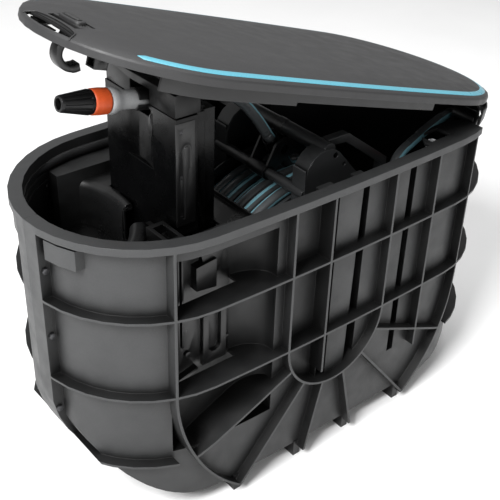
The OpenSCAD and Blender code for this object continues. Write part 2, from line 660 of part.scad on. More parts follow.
wind_gap = min([for (i = [0 : 3 : wind_n], j = [i + 20 : wind_n + 1])
  norm(wind_rings[i][0] - wind_rings[j][0])]) - hose_d;
module hose_winding() { color("#56595c")
  echo(least_gap_of_the_winding = wind_gap);
  rz() polyhedron(
    points = [for (w = wind_rings, j = [0 : 5])
      w[0] + hose_d / 2 * (cos(60 * j) * w[1] + sin(60 * j) * [0, 1, 0])],
    faces = tube_faces(len(wind_rings), 6));
}
module ratchet_wheel() { color("#6a6d70") rz() at(reel_x, reel_z) difference() {
  slab(stand_y - 20, stand_y - 14) polygon([for (i = [0 : 13], t = [[50, 0], [44, 3]])
    let (a = i * 360 / 14 + t[1]) [t[0] * cos(a), t[0] * sin(a)]]);
  y_rod(axle_r + seat, stand_y - 25, stand_y - 5);
}}
module drum_pulley() { color("#2c2d2e")
  rz() at(reel_x, reel_z) tube_y(40, axle_r + seat, stand_y + 2, stand_y + 10); }
module guide_screw() { color("#8d9194") rz() at(58, -20) {
  y_rod(6, -stand_y + 31, stand_y - 31);
  y_rod(4, -stand_y + 1, stand_y + 11);
} }
module screw_pulley() { color("#2c2d2e")
  rz() at(58, -20) tube_y(12, 4 + seat, stand_y + 2, stand_y + 10); }

// Hose guide that travels across the drum, and the ball that the hose passes through
module guide_carriage() { color("#1f2021") rz() difference() {
  union() {
    at(-19, -52) y_rod(low_bar_r + 3.4, -21.5, 21.5);
    at(58, -20) y_rod(10, -21.5, 21.5);
    for (s = [-1, 1]) slab(s > 0 ? 17.5 : -21.5, s > 0 ? 21.5 : -17.5) polygon([
      [-26, -47], [-14, -60], [20, -36], [60, -30], [60, -11], [30, -3.2], [14, 0.6], [-4, -6], [-24, -44]]);
  }
  at(-19, -52) y_rod(low_bar_r + run, -30, 30);
  at(58, -20) y_rod(6 + run, -30, 30);
  at(14, -20) y_rod(8 + run, -30, 30);
}}
module guide_ball() { color("#101112") rz() translate([14, 0, -20]) difference() {
  union() {
    intersection() { sphere(ball_r); cube([90, 34.4, 90], center = true); }
    y_rod(8, -21.5, 21.5);
    rotate([0, -40, 0]) cylinder(r = 13, h = 23);
  }
  rotate([0, -40, 0]) translate([0, 0, -40]) cylinder(r = hose_d / 2 + 2.4, h = 80);
}}
module pawl() { color("#8d9194") rz() difference() {
  slab(stand_y - 19.5, stand_y - 14.5) union() {
    translate([100, -215]) circle(8);
    polygon([[93, -213], [87.5, -247], [91, -251], [97, -245], [107, -217]]);
  }
  at(100, -215) y_rod(4 + run, stand_y - 25, stand_y - 5);
}}

// Tower that lifts the nozzle; it is drawn raised
screw_drops = [20, 90, 150];
nozzle_x = tower_x; nozzle_z = tower_top - 7;
module on_nozzle() { rz() translate([nozzle_x, 0, nozzle_z]) rotate([0, nozzle_tilt - 90, 0]) children(); }
module tower_view(y) {
  x0 = tower_x - tower_l / 2; x1 = tower_x + tower_l / 2;
  polygon([[x0, -y], [x0 + 37, -y], [x0 + 37, -y + 4], [x0 + 52, -y + 4], [x0 + 52, -y + 8], [x1, -y + 8],
    [x1, y - 8], [x0 + 52, y - 8], [x0 + 52, y - 4], [x0 + 37, y - 4], [x0 + 37, y], [x0, y]]);
}
function oval_points(a, b) = [for (i = [0 : 39]) [a * cos(9 * i), b * sin(9 * i)]];
module tower_column() { color("#1e1f20") difference() {
  rz() difference() {
    union() {
      translate([0, 0, -270]) linear_extrude(270 + tower_top) tower_view(tower_w / 2);
      translate([0, 0, -270]) linear_extrude(26) tower_hole(0);
    }
    translate([tower_x - tower_l / 2 + 9, -tower_w / 2 + 11, -271])
      cube([tower_l - 12, tower_w - 22, 271 + tower_top - 36]);
    // passage for the hose and the nozzle across the top
    translate([tower_x - 60, -22, tower_top - 24]) cube([43, 44, 40]);
    translate([tower_x - 6, -22, tower_top - 28]) cube([60, 44, 40]);
    // hollow front face with its leaf, and the recess for the side panel
    translate([tower_x - tower_l / 2 - 31, 0, 30]) linear_extrude(tower_top - 36)
      polygon(oval_points(38, 59));
    translate([tower_x - tower_l / 2 - 1, -tower_w / 2 - 1, -40]) cube([34, 3.5, tower_top + 34]);
    for (d = screw_drops) at(tower_x - tower_l / 2 + 8, tower_top - d)
      y_rod(1.8, -tower_w / 2, -tower_w / 2 + 12);
    for (z = [-240, -180, -120]) translate([tower_x - 14, -tower_w / 2 - 1, z]) cube([28, 200, 40]);
  }
  on_nozzle() translate([0, 0, -40]) cylinder(r = nozzle_body_r + seat, h = 120);
}}
module tower_panel() { color("#2a2b2c")
  rz() translate([tower_x - tower_l / 2, -tower_w / 2, 0]) difference() {
  translate([0, 0, -40 + seat]) cube([33 - seat, 2.2, tower_top + 34 - 2 * seat]);
  slab(-1, 0.9) difference() {
    union() {
      translate([10, -30]) square([4, 110]);
      translate([18, 80]) circle(8);
      translate([22, 50]) square([4, 30]);
    }
    translate([18, 80]) circle(4);
    translate([14, 50]) square([8, 30]);
  }
  for (d = screw_drops) at(8, tower_top - d) y_rod(3, -3, 3);
}}
module tower_head() { color("#4a4d50") rz() difference() {
  slab(-tower_w / 2 + 2, tower_w / 2 - 2) translate([tower_x, tower_top]) polygon([
    [-35, seat], [-35, 34], [-22, 37], [8, 24], [8, seat]]);
  translate([tower_x - 60, -24, tower_top - 5]) cube([90, 48, 27]);
  for (s = [-1, 1]) translate([tower_x - 30, s > 0 ? 34 : -tower_w / 2 + 8, tower_top - 5])
    cube([32, tower_w / 2 - 42, 24]);
}}
module tower_leaf() { color("#17181a") rz() intersection() {
  translate([tower_x - tower_l / 2 - 1, -39, tower_top - 37]) rotate([0, 90, 0]) rotate(-18)
    linear_extrude(30, center = true) polygon(oval_points(27, 15));
  translate([tower_x - tower_l / 2 - 31, 0, -40]) linear_extrude(260) difference() {
    polygon(oval_points(38 - seat, 59 - seat)); polygon(oval_points(34, 55)); }
  translate([tower_x - tower_l / 2, -100, 0]) cube([60, 200, 300]);
}}
module tower_bolts() { color("#6a6d70") rz() for (d = screw_drops)
  at(tower_x - tower_l / 2 + 8, tower_top - d) translate([0, -tower_w / 2, 0]) {
    y_rod(2.7, 0.3, 2.2); y_rod(1.5, 2, 10); }
}

// Nozzle lying in the head of the tower
module nozzle_body() { color("#9a9da0") on_nozzle() rotate_extrude() polygon([
  [5, 14], [nozzle_body_r, 14], [nozzle_body_r, 70], [nozzle_body_r + 0.5, 76], [nozzle_body_r + 2.5, 84],
  [nozzle_body_r + 3, 90], [10, 90], [10, 122], [5, 122]]); }
module nozzle_grip() { color("#1c1d1e") on_nozzle() for (a = [0, 180]) rotate(a) difference() {
  translate([0, 0, 22]) cylinder(r = nozzle_body_r + 2.5, h = 24);
  translate([0, 0, 20]) cylinder(r = nozzle_body_r + seat, h = 60);
  translate([-40, -20, 20]) cube([44, 40, 60]);
  for (i = [0 : 3]) translate([nozzle_body_r + 1.8, -10, 26 + 5 * i]) cube([5, 20, 2]);
}}
module nozzle_collar() { color("#e2602a") on_nozzle() rotate_extrude() polygon([
  [10 + seat, 90 + seat], [nozzle_head_r - 1.5, 90 + seat], [nozzle_head_r - 0.5, 92], [nozzle_head_r, 104],
  [nozzle_head_r - 0.5, 115], [nozzle_head_r - 1.5, 116.7], [10 + seat, 116.7]]); }
nozzle_mouth = 117 + nozzle_head_l;
module nozzle_head() { color("#1c1d1e") on_nozzle() difference() {
  rotate_extrude() polygon([[10 + run, 117], [nozzle_head_r - 1.5, 117], [nozzle_head_r - 1, 122],
    [nozzle_tip_r + 1, nozzle_mouth - 3], [nozzle_tip_r, nozzle_mouth], [8, nozzle_mouth],
    [6, nozzle_mouth - 14], [6, 122 + seat], [10 + run, 122 + seat]]);
  for (i = [0 : 13]) rotate(i * 360 / 14) translate([nozzle_head_r - 2.6, -1.3, 121])
    rotate([0, -asin((nozzle_head_r - 2 - nozzle_tip_r) / nozzle_head_l), 0])
      cube([6, 2.6, nozzle_head_l - 9]);
}}
module nozzle_coupling() { color("#d8452e") on_nozzle() difference() {
  union() {
    translate([0, 0, -8]) cylinder(r = nozzle_body_r - 0.5, h = 21.7);
    for (i = [0 : 9]) rotate(i * 36) translate([nozzle_body_r - 1.2, -1.5, -6]) cube([1, 3, 16]);
  }
  translate([0, 0, -9]) cylinder(r = 5, h = 40);
}}
nozzle_back = [nozzle_x, 0, nozzle_z] - (8 + seat) * [-cos(nozzle_tilt), 0, sin(nozzle_tilt)];
wind_end = [reel_x, 0, reel_z] + hose_wind_r * wind_out(turns_all) + (hose_d + 1.3) * wind_along(turns_all);
lead_route = [wind_end, wind_end + 18 * wind_along(turns_all), [27, 0, -41], [14, 0, -20], [-4, 0, 1.5],
  [-32, 0, 42], [-66, 0, 80], [-106, 0, 104], [-150, 0, 111],
  nozzle_back + 19 * [cos(nozzle_tilt), 0, -sin(nozzle_tilt)], nozzle_back];
module hose_lead() { color("#56595c") rz()
  tube_along(smooth(lead_route, 4), [0, 1, 0], hose_d / 2, 10);
}

// Lid, drawn closed and then swung open about the hinge
module swing(k) {
  translate([hinge_x, 0, hinge_z]) rotate([0, lid_open * k, 0]) translate([-hinge_x, 0, -hinge_z]) children();
}
// Levels of the lid's outer form: height and inset, all of it sunk by t and drawn in by g
function lid_levels(g, t) = [for (v = [[0, 0], [lid_edge_h, 0], [lid_edge_h + 2.6, 1.2], [lid_edge_h + 4, 4],
    [lid_edge_h + 8, 18], [lid_edge_h + lid_crown_h - 2, 52], [lid_edge_h + lid_crown_h - 0.6, 110],
    [lid_edge_h + lid_crown_h, 172]])
  [lid_z + v[0] - (v[0] > 0 ? t : t > 0 ? 1 : 0), -lid_inset - v[1] - g]];
module lid_body(g, t) {
  q = lid_levels(g, t);
  polyhedron(points = [for (v = q) for (p = oval(v[1])) [p.x, p.y, v[0]]],
    faces = tube_faces(len(q), len(oval(0))));
}
module band_plan(g) { intersection() {
  difference() {
    polygon(oval(-lid_inset - band_inset - g, 23, 7));
    polygon(oval(-lid_inset - band_inset - band_w + g, 23, 7));
  }
  translate([-half_l + 92 + g, -half_w]) square([box_l, box_w]);
}}
module lid_shell() { color("#3a3c3e") swing(1) difference() {
  lid_body(0, 0);
  lid_body(lid_t, lid_t);
  difference() {
    translate([0, 0, rim_z]) linear_extrude(60) band_plan(0);
    translate([0, 0, -2]) lid_body(0, 0);
  }
  translate([-half_l + 45, -33, rim_z]) cube([30, 70, 60]);
  // relief for the hinge's knuckles
  translate([hinge_x, 0, hinge_z]) y_rod(5.3, -34.5, 34.5, 8);
  // finger opening behind a thin lip at the front
  translate([0, 0, rim_z]) linear_extrude(60) intersection() {
    plan(-lid_inset - 3.5);
    translate([-half_l, -60]) square([29, 114]);
  }
}}
module lid_band() { color("#5fb3cf") swing(1) intersection() {
  translate([0, 0, rim_z]) linear_extrude(60) band_plan(0.2);
  difference() { lid_body(0, 0); translate([0, 0, -1.7]) lid_body(0, 0); }
}}
module lid_frame() { color("#26282a") swing(1) rz() difference() {
  union() {
    difference() {
      union() {
        translate([0, 0, -16]) linear_extrude(32.5) intersection() {
          ring(-26, -29); translate([-half_l + 107, -half_w]) square([213.5, box_w]); }
        translate([0, 0, -11]) linear_extrude(27.5) intersection() {
          ring(-26, -29); translate([-half_l + 318.5, -half_w])
            square([inlet_x - 38 + half_l - 318.5, box_w]); }
        translate([0, 0, 1]) linear_extrude(15.5) intersection() {
          ring(-26, -29); translate([inlet_x - 40, -half_w])
            square([tip_x + 29 - inlet_x, box_w]); }
        translate([0, 0, 13.5]) linear_extrude(3) intersection() {
          ring(-26, -50); translate([-half_l, -half_w]) square([half_l + hinge_x - 14, box_w]); }
      }
      translate([-half_l, -42, -20]) cube([90, 88, 60]);
    }
    for (s = [-1, 1]) mirror([0, s > 0 ? 0 : 1, 0]) {
      translate([hinge_x - 22, 8, 13.5]) cube([22, 7.5, 3]);
      at(hinge_x, hinge_up) y_rod(4.6, 8, 15.5);
      translate([-half_l + 30, s > 0 ? 34 : 30, 11]) cube([51, 18, 3.5]);
    }
  }
  at(hinge_x, hinge_up) y_rod(hinge_pin_r + run, -90, 90);
}}
module lid_catch_plate() { color("#1a1b1c") swing(1) rz() translate([-half_l + 81.5, 0, 0]) difference() {
  union() {
    translate([0, -40, 20]) cube([21, 28, 3]);
    translate([0, -36, -24]) cube([21, 3, 45]);
    translate([0, -18, -24]) cube([21, 3, 45]);
    translate([0, -36, -26]) cube([21, 21, 3]);
  }
  at(11, -10) y_rod(3, -60, 0);
}}
module latch_button() { color("#2b2d2f") swing(1) rz() translate([-half_l + 45.5 + 7 - 0.5, 0, 0]) {
  translate([0, -32.5, 17]) cube([22, 69, 8]);
  translate([-4, -36, 15]) cube([30, 76, 2.5]);
  for (i = [0 : 4]) translate([3 + 4 * i, -24, 24.5]) cube([1.4, 52, 1.2]);
}}
module latch_hook() { color("#1a1b1c") swing(1) rz() at(-half_l + 48.5, 0) slab(-11, 7) polygon([
  [0, 15 - seat], [16, 15 - seat], [16, -5], [28, -10], [32, -18], [32, -30], [26, -38],
  [-22, -38], [-22, -32], [-14, -30], [18, -30], [22, -24], [20, -14], [0, -12]]);
}
module slat(o, top, y, k, z0, z1) { swing(k) rz() difference() {
  union() {
    intersection() {
      translate([0, 0, -24]) linear_extrude(24 + top) intersection() {
        ring(o, o - 2.5); translate([tip_x + 5, -half_w]) square([half_l, box_w]); }
      along_y(box_w + 20)
        polygon([[tip_x, -24], [hinge_x - 2, -4], [half_l + 8, -4], [half_l + 8, 10], [tip_x, 10]]);
    }
    for (s = [-1, 1]) mirror([0, s > 0 ? 0 : 1, 0]) {
      at(hinge_x, hinge_up) y_rod(4.6, y, y + 4);
      intersection() {
        linear_extrude(hinge_up) plan(o - 1);
        union() {
          translate([hinge_x - 4.6, y, z0]) cube([9.2, 4, hinge_up - z0]);
          translate([hinge_x - 4.6, y, z0]) cube([30, 4, z1 - z0]);
        }
      }
      intersection() {
        translate([hinge_x, y, -3]) cube([30, 4, 3 + z1]);
        linear_extrude(10, center = true) ring(o, o - 2.5);
      }
    }
  }
  at(hinge_x, hinge_up) y_rod(hinge_pin_r + run, -90, 90);
}}
module slat_upper() { color("#303234") slat(-6, 3, 16.5, 0.75, 1.6, 3.8); }
module slat_lower() { color("#2b2d2f") slat(-10.5, 0, 21.8, 0.38, 0.8, 2.6); }

shell_near();
shell_far();
shell_bolts();
tower_brackets();
tray();
tower_guide();
hinge_bracket();
hinge_pin();
hinge_covers();
inlet_fitting();
inlet_collar();
inlet_valve();
feed_hose();
swivel_elbow();
stand_near();
stand_far();
stand_brace();
stand_bolts();
axle_bushes();
spring_case();
spring_cap();
mainspring();
drive_belt();
pawl_pin();
lid_shell();
lid_band();
lid_frame();
lid_catch_plate();
latch_button();
latch_hook();
slat_upper();
slat_lower();
tower_column();
tower_panel();
tower_head();
tower_leaf();
tower_bolts();
nozzle_body();
nozzle_collar();
nozzle_grip();
nozzle_coupling();
nozzle_head();
hose_lead();
drum_core();
drum_hub();
axle();
hose_winding();
ratchet_wheel();
drum_pulley();
guide_screw();
screw_pulley();
guide_carriage();
guide_ball();
pawl();
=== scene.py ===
# Garden hose box: camera, light, materials, hoses and details over the frame
import bpy, bmesh, math, json
from mathutils import Vector, Matrix


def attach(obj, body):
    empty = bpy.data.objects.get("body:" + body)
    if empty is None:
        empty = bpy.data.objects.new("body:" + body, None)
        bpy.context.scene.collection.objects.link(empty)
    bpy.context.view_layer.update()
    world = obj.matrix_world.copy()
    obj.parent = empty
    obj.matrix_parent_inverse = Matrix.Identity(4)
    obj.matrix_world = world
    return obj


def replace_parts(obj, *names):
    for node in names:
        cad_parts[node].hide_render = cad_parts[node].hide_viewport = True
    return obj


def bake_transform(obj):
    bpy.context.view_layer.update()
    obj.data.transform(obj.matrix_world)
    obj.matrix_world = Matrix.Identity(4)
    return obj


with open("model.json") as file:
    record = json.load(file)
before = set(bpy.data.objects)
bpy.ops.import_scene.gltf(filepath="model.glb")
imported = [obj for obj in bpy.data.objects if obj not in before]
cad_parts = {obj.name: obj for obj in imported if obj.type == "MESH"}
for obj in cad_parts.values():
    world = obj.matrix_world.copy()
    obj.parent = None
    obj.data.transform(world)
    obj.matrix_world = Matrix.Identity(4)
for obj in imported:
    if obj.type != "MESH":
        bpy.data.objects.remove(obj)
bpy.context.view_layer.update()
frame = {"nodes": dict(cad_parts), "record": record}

nodes = frame["nodes"]
scene = bpy.context.scene

# Height of the box's rim above the ground, in metres
RIM = 0.525
# Places of the solids in millimetres, z from the rim: middle of the reel, line of the lid's hinge, nozzle
REEL_X, REEL_Z = 38, -270
HINGE_X, HINGE_Z = 420, 12
NOZZLE_X, NOZZLE_Z = -212, 121
NOZZLE_TILT = math.radians(11)
LID_OPEN = math.radians(17)
# Direction across the box, away from the camera
FAR = Vector((0, 1, 0))


def V(x, y, z):
    """Point in millimetres, z from the rim, as metres in the frame."""
    return Vector((x / 1000, y / 1000, RIM + z / 1000))


# Camera, fitted to the rim's oval and the upright edges in the photograph
CAMERA_PLACE = V(-915.791, -1047.673, 676.046)
CAMERA_RIGHT = Vector((0.77670633, -0.6291887, 0.02913516))
CAMERA_UP = Vector((0.32250117, 0.43699501, 0.83965967))
CAMERA_AHEAD = Vector((0.54103629, 0.64277286, -0.54233088))
FOCAL_PIXELS, PHOTO_PIXELS, SENSOR_MM = 946.336, 500, 36
cam_data = bpy.data.cameras.new("camera")
cam = bpy.data.objects.new("camera", cam_data)
scene.collection.objects.link(cam)
turned = Matrix((CAMERA_RIGHT, CAMERA_UP, -CAMERA_AHEAD)).transposed().to_4x4()
cam.matrix_world = Matrix.Translation(CAMERA_PLACE) @ turned
cam_data.sensor_width = SENSOR_MM
cam_data.lens = FOCAL_PIXELS / PHOTO_PIXELS * SENSOR_MM
cam_data.clip_end = 50
scene.camera = cam


# Nodes of a material
def new_material(name):
    """Material with a principled shader, its node tree and that shader."""
    mat = bpy.data.materials.new(name)
    mat.use_nodes = True
    tree = mat.node_tree
    tree.nodes.clear()
    out = tree.nodes.new("ShaderNodeOutputMaterial")
    shader = tree.nodes.new("ShaderNodeBsdfPrincipled")
    tree.links.new(shader.outputs[0], out.inputs[0])
    return mat, tree, shader


def noise(tree, scale, detail=2.0, rough=0.5, stretch=None):
    """Noise in the object's own space, drawn out by stretch."""
    place = tree.nodes.new("ShaderNodeTexCoord").outputs["Object"]
    node = tree.nodes.new("ShaderNodeTexNoise")
    node.inputs["Scale"].default_value = scale
    node.inputs["Detail"].default_value = detail
    node.inputs["Roughness"].default_value = rough
    if stretch:
        mapping = tree.nodes.new("ShaderNodeMapping")
        mapping.inputs["Scale"].default_value = stretch
        tree.links.new(place, mapping.inputs[0])
        place = mapping.outputs[0]
    tree.links.new(place, node.inputs["Vector"])
    return node.outputs["Fac"]


def ramp(tree, value, stops):
    """Colour that follows the value through the stops."""
    node = tree.nodes.new("ShaderNodeValToRGB")
    elements = node.color_ramp.elements
    while len(elements) < len(stops):
        elements.new(0.5)
    for element, (position, colour) in zip(elements, stops):
        element.position = position
        element.color = (*colour, 1)
    tree.links.new(value, node.inputs[0])
    return node.outputs[0]


def mix(tree, factor, first, second, mode="MIX"):
    """Mix of two colours, where each value is a number, a colour or another node's output."""
    node = tree.nodes.new("ShaderNodeMix")
    node.data_type = "RGBA"
    node.blend_type = mode
    sockets = node.inputs["Factor"], node.inputs["A"], node.inputs["B"]
    for socket, value in zip(sockets, (factor, first, second)):
        if isinstance(value, (int, float)):
            socket.default_value = value
        elif isinstance(value, tuple):
            socket.default_value = (*value, 1)
        else:
            tree.links.new(value, socket)
    return node.outputs["Result"]


def grey(value):
    return (value, value, value)


def tone(colour, factor):
    return tuple(min(1, part * factor) for part in colour)


EDGE_ROUND = 0.0012


def rounded(tree):
    """Normal that is rounded over the edges, and how far it is turned there."""
    bevel = tree.nodes.new("ShaderNodeBevel")
    bevel.samples = 4
    bevel.inputs["Radius"].default_value = EDGE_ROUND
    geometry = tree.nodes.new("ShaderNodeNewGeometry")
    dot = tree.nodes.new("ShaderNodeVectorMath")
    dot.operation = "DOT_PRODUCT"
    tree.links.new(bevel.outputs[0], dot.inputs[0])
    tree.links.new(geometry.outputs["Normal"], dot.inputs[1])
    return bevel.outputs[0], dot.outputs["Value"]


def openness(tree, reach, samples):
    """How open the surface lies to what is round it, within the reach in metres; it sets the painted shade.
    """
    node = tree.nodes.new("ShaderNodeAmbientOcclusion")
    node.samples = samples
    node.inputs["Distance"].default_value = reach
    return node.outputs["AO"]


def painted_recess_shade(tree, colour, reach, low, wide):
    """Colour with painted shade, darkened in recesses within the reach, down to low, and also in wide ones
    if wide is given.
    """
    stops = [(0.34, grey(low)), (0.70, grey(low + 0.36 * (1 - low))), (0.92, grey(1.0))]
    colour = mix(tree, 1.0, colour, ramp(tree, openness(tree, reach, 6), stops), "MULTIPLY")
    if wide:
        stops = [(0.42, grey(0.36)), (0.90, grey(1.0))]
        colour = mix(tree, 1.0, colour, ramp(tree, openness(tree, wide, 4), stops), "MULTIPLY")
    return colour


def bumped(tree, shader, height, strength, distance, normal=None):
    """Fine relief on the shader, over the given normal."""
    bump = tree.nodes.new("ShaderNodeBump")
    bump.inputs["Strength"].default_value = strength
    bump.inputs["Distance"].default_value = distance
    if normal is not None:
        tree.links.new(normal, bump.inputs["Normal"])
    tree.links.new(height, bump.inputs["Height"])
    tree.links.new(bump.outputs[0], shader.inputs["Normal"])


# Materials
def plastic(name, base, rough, grain, grain_scale, wear, spread=0.06, coat=0.0, pale=1.9,
            reach=0.12, low=0.03, shine=0.5, wide=0.0):
    """Moulded plastic: mottled tone, fine grain, uneven gloss, softened and paler edges, and painted shade
    that darkens its recesses.
    """
    mat, tree, shader = new_material(name)
    dull, bright = tone(base, 1 - spread), tone(base, 1 + spread)
    colour = ramp(tree, noise(tree, 16, 4, 0.6), [(0.3, dull), (0.7, bright)])
    speck = ramp(tree, noise(tree, 520), [(0.35, grey(0.88)), (0.65, grey(1.0))])
    colour = mix(tree, 1.0, colour, speck, "MULTIPLY")
    normal, turn = rounded(tree)
    worn_edge = ramp(tree, turn, [(0.80, grey(wear)), (0.985, grey(0))])
    colour = mix(tree, worn_edge, colour, tone(base, pale))
    # painted shade: the base colour is darkened where ambient occlusion finds the surface shut in
    tree.links.new(painted_recess_shade(tree, colour, reach, low, wide), shader.inputs["Base Color"])
    gloss = [(0.3, grey(max(0.05, rough - 0.07))), (0.7, grey(rough + 0.08))]
    tree.links.new(ramp(tree, noise(tree, 35, 3), gloss), shader.inputs["Roughness"])
    shader.inputs["Specular IOR Level"].default_value = shine
    if coat:
        shader.inputs["Coat Weight"].default_value = coat
        shader.inputs["Coat Roughness"].default_value = 0.15
    bumped(tree, shader, noise(tree, grain_scale), grain, 0.0006, normal)
    return mat


def metal(name, base, rough):
    """Plated or rolled steel: drawn streaks and faint stains."""
    mat, tree, shader = new_material(name)
    drawn = (1, 40, 1)
    streak = [(0.25, tone(base, 0.75)), (0.75, tone(base, 1.15))]
    colour = ramp(tree, noise(tree, 260, 3, 0.6, drawn), streak)
    stain = ramp(tree, noise(tree, 30, 4), [(0.4, grey(0.8)), (0.6, grey(1.0))])
    tree.links.new(mix(tree, 1.0, colour, stain, "MULTIPLY"), shader.inputs["Base Color"])
    shader.inputs["Metallic"].default_value = 1.0
    gloss = [(0.3, grey(rough - 0.08)), (0.7, grey(rough + 0.12))]
    tree.links.new(ramp(tree, noise(tree, 90), gloss), shader.inputs["Roughness"])
    bumped(tree, shader, noise(tree, 700, 2, 0.5, drawn), 0.15, 0.0003)
    return mat


# reach, low and wide set the painted shade that darkens each plastic in its recesses
PLASTICS = {
    # wide gives the shell painted shade over half a metre as well, which darkens it towards the floor
    "shell_plastic": dict(base=(0.040, 0.041, 0.042), rough=0.46, grain=0.16, grain_scale=1500, wear=0.5,
                          pale=2.6, reach=0.10, wide=0.5),
    "lid_plastic": dict(base=(0.029, 0.029, 0.030), rough=0.50, grain=0.20, grain_scale=1500, wear=0.45,
                        pale=2.6),
    "band_plastic": dict(base=(0.10, 0.37, 0.47), rough=0.32, grain=0.04, grain_scale=900, wear=0.15,
                         spread=0.03, coat=0.2),
    "inner_plastic": dict(base=(0.0105, 0.0106, 0.011), rough=0.34, grain=0.14, grain_scale=1300, wear=0.6,
                          pale=3.4, reach=0.09, low=0.1, shine=0.55),
    "tray_plastic": dict(base=(0.012, 0.0122, 0.0125), rough=0.30, grain=0.10, grain_scale=1300, wear=0.4,
                         pale=2.6, reach=0.10, low=0.05, shine=0.6),
    "stand_plastic": dict(base=(0.030, 0.031, 0.032), rough=0.34, grain=0.12, grain_scale=1300, wear=0.6,
                          pale=2.6, reach=0.06, low=0.10, shine=0.6),
    "tower_plastic": dict(base=(0.0026, 0.0027, 0.0029), rough=0.26, grain=0.05, grain_scale=1300, wear=0.6,
                          pale=7.0, shine=0.22),
    "head_plastic": dict(base=(0.0075, 0.0078, 0.008), rough=0.40, grain=0.14, grain_scale=1300, wear=0.5,
                         pale=4.0, shine=0.35),
    "ball_plastic": dict(base=(0.004, 0.004, 0.0045), rough=0.20, grain=0.03, grain_scale=900, wear=0.2,
                         spread=0.05, coat=0.3),
    "bush_plastic": dict(base=(0.50, 0.48, 0.43), rough=0.40, grain=0.05, grain_scale=900, wear=0.1,
                         spread=0.05),
    "belt_rubber": dict(base=(0.010, 0.010, 0.010), rough=0.80, grain=0.30, grain_scale=800, wear=0.2),
    "hose_grey": dict(base=(0.085, 0.092, 0.096), rough=0.30, grain=0.10, grain_scale=1200, wear=0.1,
                      spread=0.08, coat=0.2, reach=0.03, low=0.35),
    "hose_blue": dict(base=(0.26, 0.56, 0.66), rough=0.30, grain=0.10, grain_scale=1200, wear=0.1,
                      coat=0.2, reach=0.03, low=0.40),
    "nozzle_grey": dict(base=(0.36, 0.365, 0.37), rough=0.30, grain=0.04, grain_scale=1300, wear=0.1,
                        spread=0.04, coat=0.25, reach=0.012, low=0.55),
    "nozzle_black": dict(base=(0.0055, 0.0055, 0.006), rough=0.40, grain=0.12, grain_scale=1300, wear=0.3,
                         shine=0.35),
    "grip_rubber": dict(base=(0.007, 0.007, 0.008), rough=0.60, grain=0.25, grain_scale=1100, wear=0.2),
    "orange_plastic": dict(base=(0.54, 0.075, 0.016), rough=0.42, grain=0.08, grain_scale=1300, wear=0.12,
                           spread=0.04, reach=0.01, low=0.5),
    "coupling_orange": dict(base=(0.60, 0.055, 0.014), rough=0.30, grain=0.05, grain_scale=1200, wear=0.12,
                            spread=0.04, coat=0.3),
    "inlet_white": dict(base=(0.50, 0.51, 0.52), rough=0.32, grain=0.05, grain_scale=1200, wear=0.1,
                        spread=0.05, coat=0.2, reach=0.01, low=0.5),
    "collar_red": dict(base=(0.55, 0.035, 0.020), rough=0.30, grain=0.05, grain_scale=1200, wear=0.12,
                       spread=0.04, coat=0.3, reach=0.01, low=0.5),
}
MATS = {name: plastic(name, **look) for name, look in PLASTICS.items()}
MATS["zinc_steel"] = metal("zinc_steel", (0.11, 0.11, 0.115), 0.42)
MATS["spring_steel"] = metal("spring_steel", (0.28, 0.29, 0.31), 0.30)


def shade_tree(name, limit):
    """Modifier that shades smooth over fine facets and keeps edges past the limit in degrees."""
    group = bpy.data.node_groups.new(name, "GeometryNodeTree")
    for way in ("INPUT", "OUTPUT"):
        group.interface.new_socket("Geometry", in_out=way, socket_type="NodeSocketGeometry")
    start, end = group.nodes.new("NodeGroupInput"), group.nodes.new("NodeGroupOutput")
    weld = group.nodes.new("GeometryNodeMergeByDistance")
    weld.inputs["Distance"].default_value = 0.00002
    bare = group.nodes.new("GeometryNodeRemoveAttribute")
    bare.inputs["Name"].default_value = "custom_normal"
    faces = group.nodes.new("GeometryNodeSetShadeSmooth")
    faces.domain = "FACE"
    edges = group.nodes.new("GeometryNodeSetShadeSmooth")
    edges.domain = "EDGE"
    angle = group.nodes.new("GeometryNodeInputMeshEdgeAngle")
    below = group.nodes.new("FunctionNodeCompare")
    below.data_type = "FLOAT"
    below.operation = "LESS_EQUAL"
    below.inputs["B"].default_value = math.radians(limit)
    group.links.new(angle.outputs["Unsigned Angle"], below.inputs["A"])
    group.links.new(below.outputs[0], edges.inputs["Shade Smooth"])
    chain = [start, weld, bare, faces, edges, end]
    for node, following in zip(chain, chain[1:]):
        group.links.new(node.outputs[0], following.inputs[0])
    return group


SHADE_FINE = shade_tree("shade_fine", 21)
SHADE_ROUND = shade_tree("shade_round", 33)
SHADE_WIDE = shade_tree("shade_wide", 48)

# Materials and small rounded edges for the frame's pieces
slot_of = {part["node"]: part["material_slot"] for part in frame["record"]["subparts"]}
OWN_MATERIAL = {"tray": "tray_plastic", "stand_near": "stand_plastic", "stand_far": "stand_plastic",
                "stand_brace": "stand_plastic"}
NO_BEVEL = {"hose_winding", "hose_lead", "feed_hose", "mainspring", "drive_belt", "lid_band", "lid_frame",
            "lid_shell", "shell_near", "shell_far", "stand_near", "stand_far", "tray"}
PLAIN_BEVEL = 0.0005
BEVEL_WIDTH = {"tower_column": 0.0012, "tower_head": 0.0015, "stand_brace": 0.003,
               "tower_brackets": 0.0015, "swivel_elbow": 0.001}
for name, obj in nodes.items():
    obj.data.materials.clear()
    obj.data.materials.append(MATS[OWN_MATERIAL.get(name, slot_of[name])])
    if name in NO_BEVEL:
        obj.modifiers.new("shade", "NODES").node_group = SHADE_FINE
        continue
    weld = obj.modifiers.new("weld", "WELD")
    weld.merge_threshold = 0.00002
    bevel = obj.modifiers.new("round", "BEVEL")
    bevel.width = BEVEL_WIDTH.get(name, PLAIN_BEVEL)
    bevel.segments = 2
    bevel.limit_method = "ANGLE"
    bevel.angle_limit = math.radians(38)
    bevel.use_clamp_overlap = True
    bevel.harden_normals = False
    bevel.miter_outer = "MITER_ARC"
    obj.modifiers.new("shade", "NODES").node_group = SHADE_ROUND


